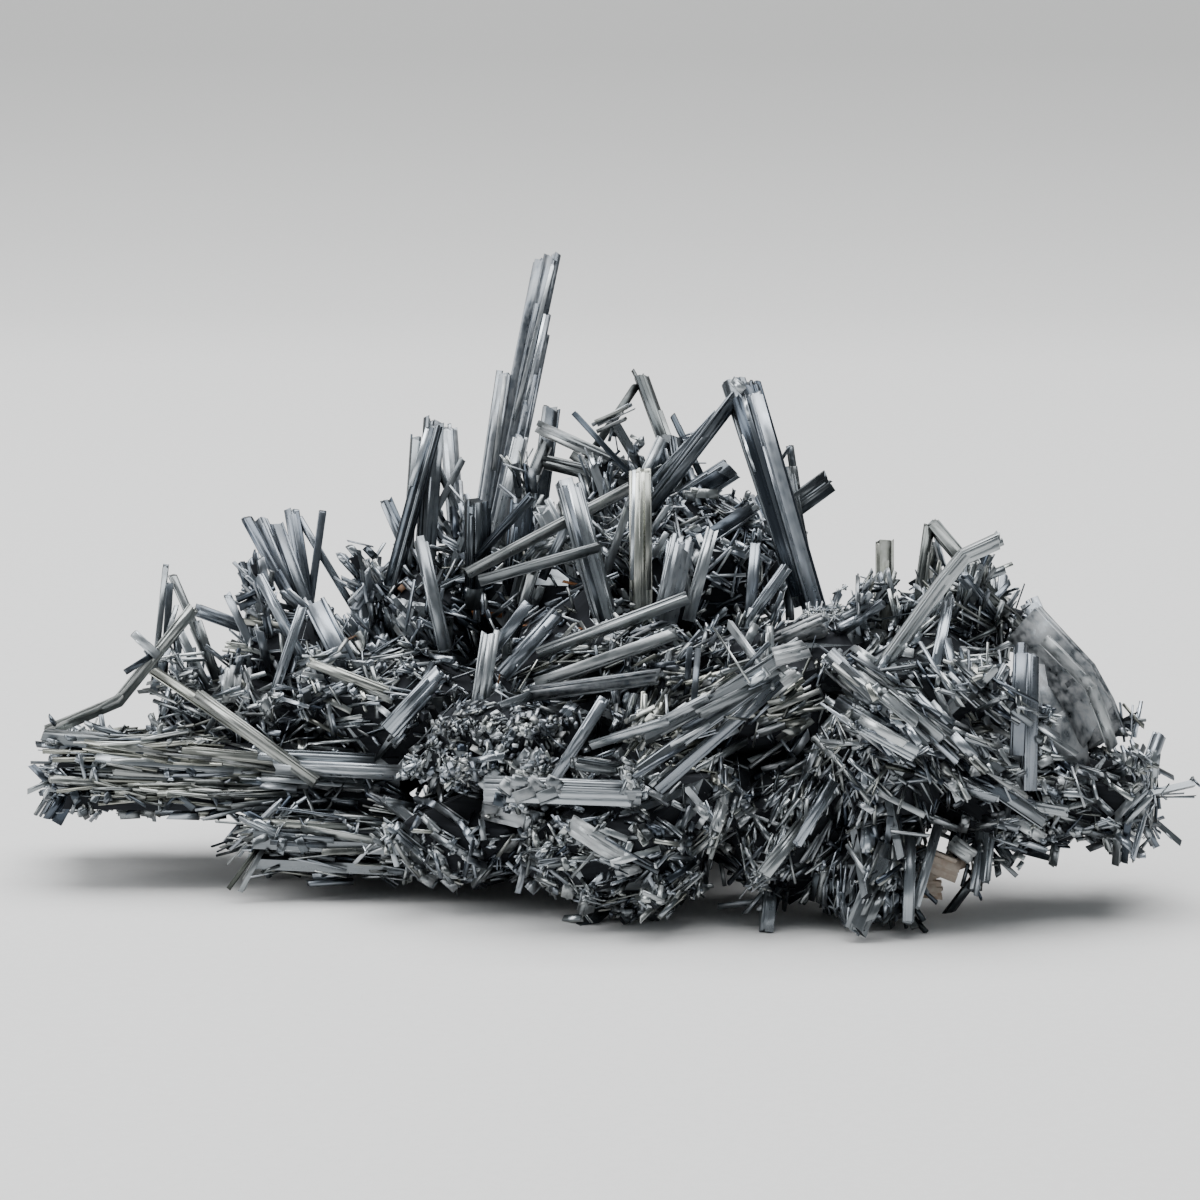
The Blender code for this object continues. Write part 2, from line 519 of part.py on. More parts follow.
def make_mass(material):
    """The mass, its ledges and the small crystals, in one solid with a socket for each standing crystal."""
    rng = random.Random(SEED)
    meshes = [lump_mesh(lump, rng) for lump in LUMPS]
    pits = [lump_mesh(pit, rng) for pit in PITS]
    for stack in LEDGES:
        meshes += stack_meshes(stack, rng)
    meshes += grown_in_meshes()
    for lump in LUMPS:
        meshes += coat_meshes(lump, rng)
    obj = add_node("crystal_mass", meshes[0], material)
    add_boolean(obj, "UNION", meshes[1:])
    sockets = [mesh for crystals in STANDING.values() for mesh in standing_meshes(crystals, SOCKET_GAP * MM)]
    floor = box_mesh((-100, -100, -40), (100, 100, 0))
    add_boolean(obj, "DIFFERENCE", pits + [floor])
    add_boolean(obj, "DIFFERENCE", sockets)
    apply_booleans(obj)
    keep_largest_body(obj)
    obj.data.materials.append(material)
    return obj


def main():
    clear_scene()
    blue_grey = stibnite("blue_grey_crystal", (0.30, 0.33, 0.37), 0.25)
    olive_grey = stibnite("olive_grey_crystal", (0.31, 0.32, 0.29), 0.3)
    dark_grey = stibnite("dark_crystal_mass", (0.16, 0.17, 0.18), 0.45)
    make_mass(dark_grey)
    for name, crystals in STANDING.items():
        make_standing(name, crystals, olive_grey if name in OLIVE else blue_grey)


main()
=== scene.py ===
"""Looks of the stibnite crystal spray: striated prisms with stepped ends in place of the plain ones, and
thousands of smaller blades, needles and grains on the mass.

Places are read off a sight board, as (across, up, away) in millimetres: how far right of the board's centre
and above it a point is seen, and how far behind the board it lies. The camera stands at the board's eye.
"""

import math
import random
from collections import namedtuple

import bpy
import numpy as np
from mathutils import Matrix, Vector
from mathutils.bvhtree import BVHTree


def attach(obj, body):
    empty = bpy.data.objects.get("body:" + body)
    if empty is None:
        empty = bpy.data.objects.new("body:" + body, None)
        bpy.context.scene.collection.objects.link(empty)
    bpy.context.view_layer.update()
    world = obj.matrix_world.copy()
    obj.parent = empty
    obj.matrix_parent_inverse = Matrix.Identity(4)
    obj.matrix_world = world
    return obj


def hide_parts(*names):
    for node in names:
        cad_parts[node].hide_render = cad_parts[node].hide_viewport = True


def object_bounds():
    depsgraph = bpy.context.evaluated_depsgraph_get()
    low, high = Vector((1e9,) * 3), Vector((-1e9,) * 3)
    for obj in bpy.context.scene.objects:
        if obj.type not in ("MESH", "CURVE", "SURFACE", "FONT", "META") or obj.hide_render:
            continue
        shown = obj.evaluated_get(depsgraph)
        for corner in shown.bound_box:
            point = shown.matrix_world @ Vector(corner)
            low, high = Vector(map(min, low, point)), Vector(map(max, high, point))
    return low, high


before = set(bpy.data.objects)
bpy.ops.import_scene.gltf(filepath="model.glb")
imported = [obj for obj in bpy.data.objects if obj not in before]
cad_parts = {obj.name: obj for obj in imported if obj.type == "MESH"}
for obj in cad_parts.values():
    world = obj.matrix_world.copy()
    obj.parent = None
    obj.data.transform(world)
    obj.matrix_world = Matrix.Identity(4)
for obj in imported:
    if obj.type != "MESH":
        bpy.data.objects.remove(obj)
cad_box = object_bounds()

MM = 0.001

# Sight board
SIGHT_TILT = math.radians(10)
EYE_DISTANCE = 500.0
BOARD_HEIGHT = 27.5
BOARD_WIDTH = 120.0
SENSOR = 36.0
NEAREST_SEEN = 0.02  # m, from the eye

Crystal = namedtuple("Crystal", "route width thickness roll root")
Tint = namedtuple("Tint", "light warmth dust")
Growth = namedtuple("Growth", "centre reach lean scatter lie count length width tint")
Fill = namedtuple("Fill", "count facing front stray length width")


def one(foot, tip, width, thickness, roll=0.0, root=4.0):
    """A straight crystal from its foot to its tip."""
    return Crystal((foot, tip), width, thickness, roll, root)


def bent(route, width, thickness, roll=0.0, root=4.0):
    """A crystal that bends where its route does."""
    return Crystal(tuple(route), width, thickness, roll, root)


# Standing crystals, each node one crystal or one clump that has grown together
STANDING = {
    "leaning_rod": [bent([(-54.0, -12.6, 0), (-48.2, -10.2, -1), (-40.5, -0.6, -2)], 1.1, 0.9, 20)],
    "ledge_rods": [
        one((-31.8, -15.7, -8.2), (-45.0, -6.8, -6.0), 1.1, 1.0, 10),
        one((-29.6, -17.3, -9.2), (-40.5, -9.3, -7.2), 1.2, 1.0, -15),
    ],
    "left_gable": [
        one((-44.6, -8.0, 1.4), (-43.4, 3.6, 1.2), 0.6, 0.6, 0),
        one((-37.6, -9.4, 1.6), (-42.9, 2.8, 1.2), 1.0, 0.8, 25),
    ],
    "left_bar": [one((-31.0, -4.4, 10), (-40.6, -0.9, 9.4), 1.3, 1.1, 15)],
    "left_needle": [one((-33.6, -7.2, 3), (-37.4, 0.8, 2.6), 0.8, 0.7, 10, root=2)],
    "stout_left": [one((-36.6, -9.6, 5.6), (-33.4, 2.8, 6.0), 2.0, 1.5, 15, root=2)],
    "left_rod": [one((-29.6, -6.2, 0), (-34.2, 2.6, 0), 0.9, 0.8, -20)],
    "fan_front": [
        one((-28.4, -4.6, 6), (-35.5, 8.5, 8), 1.2, 1.0, 10),
        one((-28.2, -5.0, 6.6), (-34.0, 8.2, 8.8), 1.2, 1.1, -15),
        one((-27.6, -5.4, 6), (-32.4, 7.8, 8), 1.2, 1.0, 30),
    ],
    "fan_back": [
        one((-28.8, -3.2, 12), (-30.9, 9.4, 13), 1.5, 1.2, 0),
        one((-24.4, -1.2, 13), (-30.2, 8.4, 13), 0.7, 0.7, 0),
        one((-29.4, -3.4, 13), (-27.7, 9.0, 12), 0.8, 0.8, 0),
    ],
    "fan_low": [one((-24.8, -7.6, 0), (-28.6, -0.2, 2), 2.3, 1.3, 10)],
    "slim_prop": [one((-32.4, -8.8, -3), (-29.7, -0.6, -2), 0.85, 0.8, 20)],
    "stub_pair": [
        one((-24.8, -6.2, 7), (-23.9, 2.7, 8), 1.3, 1.0, 0),
        one((-24.0, -6.0, 6.6), (-23.1, 3.3, 7), 0.8, 0.8, 20),
    ],
    "lying_rod": [one((-17.6, -10.6, -7), (-29.3, -6.1, -7), 1.0, 0.9, 15)],
    "left_pillar": [one((-15.8, -3.6, -4.5), (-18.0, 6.4, -3), 1.4, 1.1, 8)],
    "left_tower": [
        one((-21.4, -0.6, 6), (-16.5, 17.6, 9), 1.4, 1.3, -35),
        one((-17.8, -0.6, 8.0), (-16.6, 18.4, 10.4), 2.0, 1.6, 10),
        one((-19.4, 2.0, 8.0), (-18.4, 16.6, 8.8), 1.1, 1.0, 0),
        one((-18.6, 4.6, 9.4), (-13.6, 14.3, 10.2), 0.7, 0.7, 0),
        one((-12.8, 5.6, 10.4), (-16.9, 14.8, 10.0), 0.7, 0.6, 0),
    ],
    "tower_stub": [one((-18.4, 3.0, 16), (-21.5, 10.2, 17), 1.3, 1.2, 0)],
    "pale_back_post": [one((-14.0, 3.0, 20), (-15.1, 17.8, 22), 1.8, 1.4, 15)],
    "spire": [
        one((-11.4, 3.0, 15.0), (-4.7, 34.8, 20.5), 1.6, 1.4, 10),
        one((-11.9, 4.0, 15.6), (-5.9, 34.2, 21.2), 1.3, 1.2, -10),
        one((-12.4, 4.0, 15.2), (-9.6, 22.9, 18.8), 1.6, 1.4, 0),
        one((-10.4, 4.0, 14.6), (-5.3, 28.9, 19.4), 1.3, 1.3, 30),
        one((-10.0, 5.0, 14.4), (-6.5, 23.3, 18.0), 1.4, 1.3, 0),
    ],
    "spire_flank": [one((-10.8, 3.4, 12.2), (-7.8, 16.5, 12.6), 1.6, 1.2, 12)],
    "back_peg": [one((-6.8, 4.0, 25), (-4.8, 19.5, 28), 1.9, 1.6, 0)],
    "back_rods": [
        one((5.4, 12.0, 8.6), (-6.4, 17.4, 11.0), 1.3, 1.2, 15, root=0),
        one((4.4, 11.4, 8.2), (-5.8, 13.9, 10.0), 1.3, 1.2, -10, root=0),
        one((-8.8, 7.0, 8.6), (-5.2, 16.0, 10.8), 1.4, 1.3, 0),
    ],
    "crossing_needle": [one((5.6, 9.8, 4.6), (-2.7, 18.8, 5.5), 0.55, 0.55, 0)],
    "roof_pair": [
        one((9.2, 8.4, 11), (4.1, 22.6, 14), 1.5, 1.2, 12),
        one((-1.6, 13.6, 12.6), (3.8, 21.7, 14), 0.8, 0.8, 0),
        one((5.2, 19.4, 13.8), (3.2, 23.1, 14.6), 0.4, 0.4, 0),
        one((-1.6, 13.8, 12.6), (8.0, 8.0, 11.2), 0.9, 0.9, 0),
    ],
    "short_rod": [one((10.6, 11.4, 9), (7.1, 18.8, 10), 0.7, 0.7, 0)],
    "pale_lath": [one((3.4, 10.6, 0), (6.2, 16.4, 1.5), 0.85, 0.6, 0)],
    "peak": [
        one((21.8, -2.0, -2), (14.8, 22.0, 0), 2.1, 1.7, -25),
        one((20.2, 1.0, -0.6), (13.2, 22.3, 1.0), 2.3, 1.7, 20),
        one((5.2, 9.6, 2.6), (13.7, 20.7, 0.4), 1.5, 1.3, 25),
        one((5.0, 11.4, 3.0), (11.8, 18.8, 1.0), 0.9, 0.9, 0),
    ],
    "tab_plate": [
        one((19.2, 9.2, 5.5), (23.3, 12.2, 6.5), 2.3, 0.9, 0),
        one((21.2, 1.4, 4.6), (18.9, 13.6, 6.0), 0.9, 0.9, 0),
        one((19.6, 11.4, 6.0), (19.0, 15.5, 5.2), 0.8, 0.5, 10),
    ],
    "bright_pillar": [one((4.1, -0.6, -5), (4.0, 13.3, -4), 2.1, 1.5, -12)],
    "middle_pillar": [
        one((0.6, -3.4, -7.2), (-3.7, 12.1, -5.2), 1.7, 1.3, 12),
        one((1.3, -2.4, -6.8), (-2.5, 11.8, -4.9), 1.1, 1.0, -20),
    ],
    "middle_bar": [one((-12.4, 3.1, -3.2), (3.1, 11.3, -1.6), 1.0, 0.9, 20, root=1)],
    "cross_bar": [one((-10.6, 2.3, -8.6), (0.2, 5.3, -9.6), 1.0, 0.9, 15)],
    "wedge": [
        one((-12.2, 2.8, 1.5), (-12.2, 10.2, -0.5), 2.3, 2.1, 30),
        one((-12.4, 4.2, 0.2), (-6.7, 10.5, -1.5), 0.85, 0.8, 20, root=0),
    ],
    "dull_block": [one((-8.4, 3.0, 4.0), (-7.8, 10.2, 4.0), 2.3, 1.8, 25)],
    "striated_block": [one((-3.4, 4.8, 2.0), (-6.1, 10.0, 0.6), 2.2, 1.4, 8)],
    "shelf_plates": [
        one((7.4, 9.4, 7.0), (13.4, 13.3, 6.2), 2.4, 1.2, 10, root=0),
        one((9.2, 5.8, 6.6), (15.6, 9.6, 5.8), 1.8, 1.1, -10),
        one((9.0, 4.0, 7.4), (9.8, 12.4, 7.0), 1.5, 1.4, 0),
    ],
    "cup_blade": [one((6.8, -0.6, -8.6), (8.3, 6.5, -8.4), 2.3, 1.4, 12)],
    "fan_blade": [one((9.2, -0.6, -6.6), (11.3, 7.3, -6.2), 1.2, 0.9, 0)],
    "slab_blade": [one((15.0, -1.4, -5.6), (15.6, 5.9, -5.0), 1.1, 0.9, 0)],
    "glint_rod": [one((14.9, -2.0, -8.6), (18.8, 3.5, -9.4), 1.0, 0.9, 20)],
    "arm_top": [one((-4.8, -4.9, -12.4), (9.0, 0.3, -13.4), 1.1, 1.0, 25)],
    "arm_middle": [one((-5.0, -7.9, -14.6), (7.8, -3.3, -15.6), 1.2, 1.0, -15)],
    "arm_low": [one((-5.4, -9.2, -16.6), (6.2, -7.6, -18.4), 1.4, 1.1, 10)],
    "pale_post": [one((-12.0, -10.4, -15), (-10.9, -2.8, -15), 1.6, 1.3, 18)],
    "plug_rod": [one((-8.8, -6.4, -10.5), (-4.1, -1.1, -9.5), 1.6, 1.3, 0)],
    "twin_rod": [one((-9.8, -3.8, -12.6), (-7.0, -0.2, -12.8), 1.1, 0.9, 0)],
    "dull_diagonal": [one((-20.2, -12.0, -11), (-15.4, -6.8, -10), 1.8, 1.3, 12)],
    "sparkling_rod": [one((-3.6, -16.4, -24.0), (0.5, -9.8, -24.6), 1.0, 0.9, 10)],
    "lobe_bent_blade": [bent([(28.2, -6.8, -20), (36.0, 4.2, -19.5), (40.4, 6.2, -20.0)], 1.5, 1.0, 10)],
    "lobe_gable": [
        one((42.4, -3.2, -11), (33.0, 7.9, -10), 1.3, 1.1, 20, root=1),
        one((31.6, -2.0, -10.5), (33.0, 7.8, -10), 1.1, 1.0, 0),
    ],
    "lobe_pillar": [one((28.4, -6.0, -9), (28.4, 6.4, -8), 1.8, 1.3, 10)],
    "lobe_small_pillar": [one((26.2, -5.4, -6), (26.4, 1.9, -5), 1.4, 1.1, 0)],
    "lobe_peg": [one((39.8, -4.6, -6.6), (40.4, 2.9, -6), 1.0, 0.9, 0)],
    "lobe_stub": [one((45.4, -5.6, -6.5), (42.8, 0.1, -6), 1.9, 1.4, 10)],
    "lobe_posts": [
        one((41.7, -14.0, -27), (42.1, -4.0, -26), 1.3, 1.1, 0),
        one((42.9, -17.5, -26.6), (43.1, -5.0, -25.6), 1.4, 1.2, 20),
    ],
    "grey_shell": [
        bent([(43.4, -3.4, -15), (48.4, -8.8, -17), (51.0, -15.6, -16)], 4.6, 1.6, 20),
        one((46.4, -16.6, -15.6), (44.9, -5.6, -15.6), 5.0, 1.0, 0),
    ],
    "corner_peg": [one((54.4, -18.0, -14), (56.1, -13.2, -14), 1.4, 1.2, 0)],
}

# Those with an olive tarnish; the others are blue-grey
OLIVE = {
    "leaning_rod", "ledge_rods", "left_gable", "lying_rod", "left_tower", "back_rods", "roof_pair",
    "tab_plate", "bright_pillar", "middle_bar", "cross_bar", "arm_top", "arm_middle", "arm_low",
    "lobe_pillar", "lobe_gable",
}

# Big blades that are one with the mass
GROWN_IN = [
    one((-42.0, -14.9, -5.5), (-55.9, -13.4, -5.0), 1.3, 2.4, 0),
    one((-44.5, -14.6, -5.4), (-55.0, -13.9, -4.6), 1.1, 3.0, 0),
    one((-45.5, -19.4, -4.8), (-55.0, -18.6, -4.4), 1.1, 2.6, 0),
    one((-30.0, -19.5, -5.6), (-44.0, -19.0, -5.2), 1.0, 2.2, 0),
    one((-24.0, -15.9, -8.0), (-34.5, -15.4, -7.4), 1.2, 1.6, 10),
    one((-21.0, -17.2, -9.5), (-33.0, -16.6, -8.4), 1.2, 1.6, -10),
    one((-14.0, -25.5, -12), (-21.8, -19.8, -9.5), 1.0, 1.0, 20),
    one((-10.0, -18.9, -27), (4.3, -19.4, -28), 2.3, 1.6, 5),
    one((2.0, -17.0, -26), (-3.0, -16.2, -27), 1.2, 1.4, 0),
    one((16.4, -8.2, -27), (3.1, -17.7, -28), 1.3, 1.1, 15),
    one((16.8, -9.2, -26), (5.6, -19.1, -27), 1.1, 1.0, -10),
    one((17.0, -7.0, -27), (4.2, -13.8, -27), 1.5, 1.1, 10),
    one((18.8, -5.2, -28), (9.6, -11.2, -28), 1.4, 1.2, 0),
    one((24.0, -6.4, -27), (32.8, -14.8, -28), 1.5, 1.3, 0),
    one((25.0, -11.0, -27), (32.0, -15.2, -29), 1.5, 1.3, 20),
    one((28.0, -9.0, -25), (40.5, -17.4, -28), 1.2, 1.1, -20),
    one((36.0, -16.5, -26), (44.6, -22.4, -27), 1.2, 1.1, 0),
    one((28.4, -26.0, -24), (25.5, -33.4, -26), 2.2, 1.4, 15),
    one((31.0, -25.0, -23), (30.8, -32.4, -25), 1.1, 1.0, 0),
    one((33.4, -24.0, -22), (31.4, -31.0, -24), 0.9, 0.9, 0),
    one((22.6, -19.5, -26), (19.6, -24.6, -28), 0.9, 0.8, 0),
    one((19.4, -23.5, -24), (16.2, -27.6, -27), 1.3, 1.0, 0),
    one((38.6, -23.0, -18), (38.0, -28.4, -19), 1.9, 0.9, 30),
    one((17.0, -29.6, -20), (16.6, -33.6, -22), 1.3, 1.2, 0),
]

# Finish of a crystal: light, 0 dark to 1 light; warmth, 0 blue-grey to 1 olive; dust, 0 clean to 1 covered
PLAIN = Tint(0.36, 0.3, 0.1)
BLUE = Tint(0.42, 0.0, 0.08)
OLIVE_GREY = Tint(0.38, 0.8, 0.12)
DARK = Tint(0.08, 0.2, 0.03)
PALE = Tint(0.66, 0.25, 0.3)
DUSTY = Tint(0.6, 0.4, 0.75)
# Near-white crystals that stand in for glints: painted highlights
PAINTED_HIGHLIGHT = Tint(1.0, 0.15, 0.05)
DIM = Tint(0.2, 0.2, 0.1)
DIM_OLIVE = Tint(0.25, 0.6, 0.1)
GRANULAR = Tint(0.24, 0.3, 0.3)
GRANULAR_SLAB = Tint(0.25, 0.3, 0.5)
RUST = Tint(0.1, 1.0, 0.0)
OCHRE = Tint(0.8, 1.0, 0.0)

NODE_TINTS = {
    # bright_pillar's pale, warm tint stands in for its yellowish highlight: painted highlight
    "bright_pillar": Tint(0.85, 0.9, 0.15),
    "middle_pillar": Tint(0.35, 0.3, 0.08),
    "peak": Tint(0.2, 0.05, 0.06),
    "tower_stub": DARK,
    "crossing_needle": DARK,
    "short_rod": DARK,
    "stub_pair": Tint(0.05, 0.2, 0.1),
    "shelf_plates": Tint(0.12, 0.1, 0.1),
    "tab_plate": Tint(0.1, 0.4, 0.1),
    "left_bar": Tint(0.1, 0.1, 0.1),
    "left_needle": Tint(0.3, 0.1, 0.1),
    "spire": Tint(0.2, 0.05, 0.4),
    "spire_flank": Tint(0.45, 0.2, 0.4),
    "grey_shell": Tint(0.15, 0.2, 0.85),
    "left_pillar": Tint(0.45, 0.2, 0.15),
    "pale_post": Tint(0.6, 0.2, 0.3),
    "pale_back_post": Tint(0.3, 0.1, 0.3),
    # back_peg's black tint offsets the bright backdrop that it reflects: painted shade
    "back_peg": Tint(0.0, 0.2, 0.1),
    "pale_lath": PALE,
    "cup_blade": Tint(0.45, 0.1, 0.15),
    "fan_blade": Tint(0.65, 0.2, 0.15),
    "fan_front": Tint(0.16, 0.0, 0.12),
    "fan_back": Tint(0.16, 0.0, 0.12),
    "fan_low": Tint(0.3, 0.0, 0.15),
    "wedge": DARK,
    "dull_block": DARK,
    "stout_left": Tint(0.3, 0.1, 0.15),
    "arm_top": Tint(0.15, 0.4, 0.15),
    "arm_middle": Tint(0.3, 0.4, 0.3),
    "arm_low": Tint(0.3, 0.3, 0.3),
    "middle_bar": Tint(0.4, 0.5, 0.15),
    "cross_bar": Tint(0.3, 0.4, 0.15),
    "left_tower": Tint(0.12, 0.3, 0.1),
    "left_gable": Tint(0.25, 0.4, 0.1),
    "leaning_rod": Tint(0.5, 0.6, 0.1),
    "back_rods": Tint(0.1, 0.5, 0.2),
    "roof_pair": Tint(0.12, 0.6, 0.1),
    "striated_block": Tint(0.6, 0.3, 0.2),
    "lobe_bent_blade": Tint(0.45, 0.3, 0.2),
    "lobe_posts": Tint(0.2, 0.0, 0.15),
    "lobe_pillar": Tint(0.0, 1.0, 0.15),
    "lobe_gable": Tint(0.12, 0.7, 0.1),
}

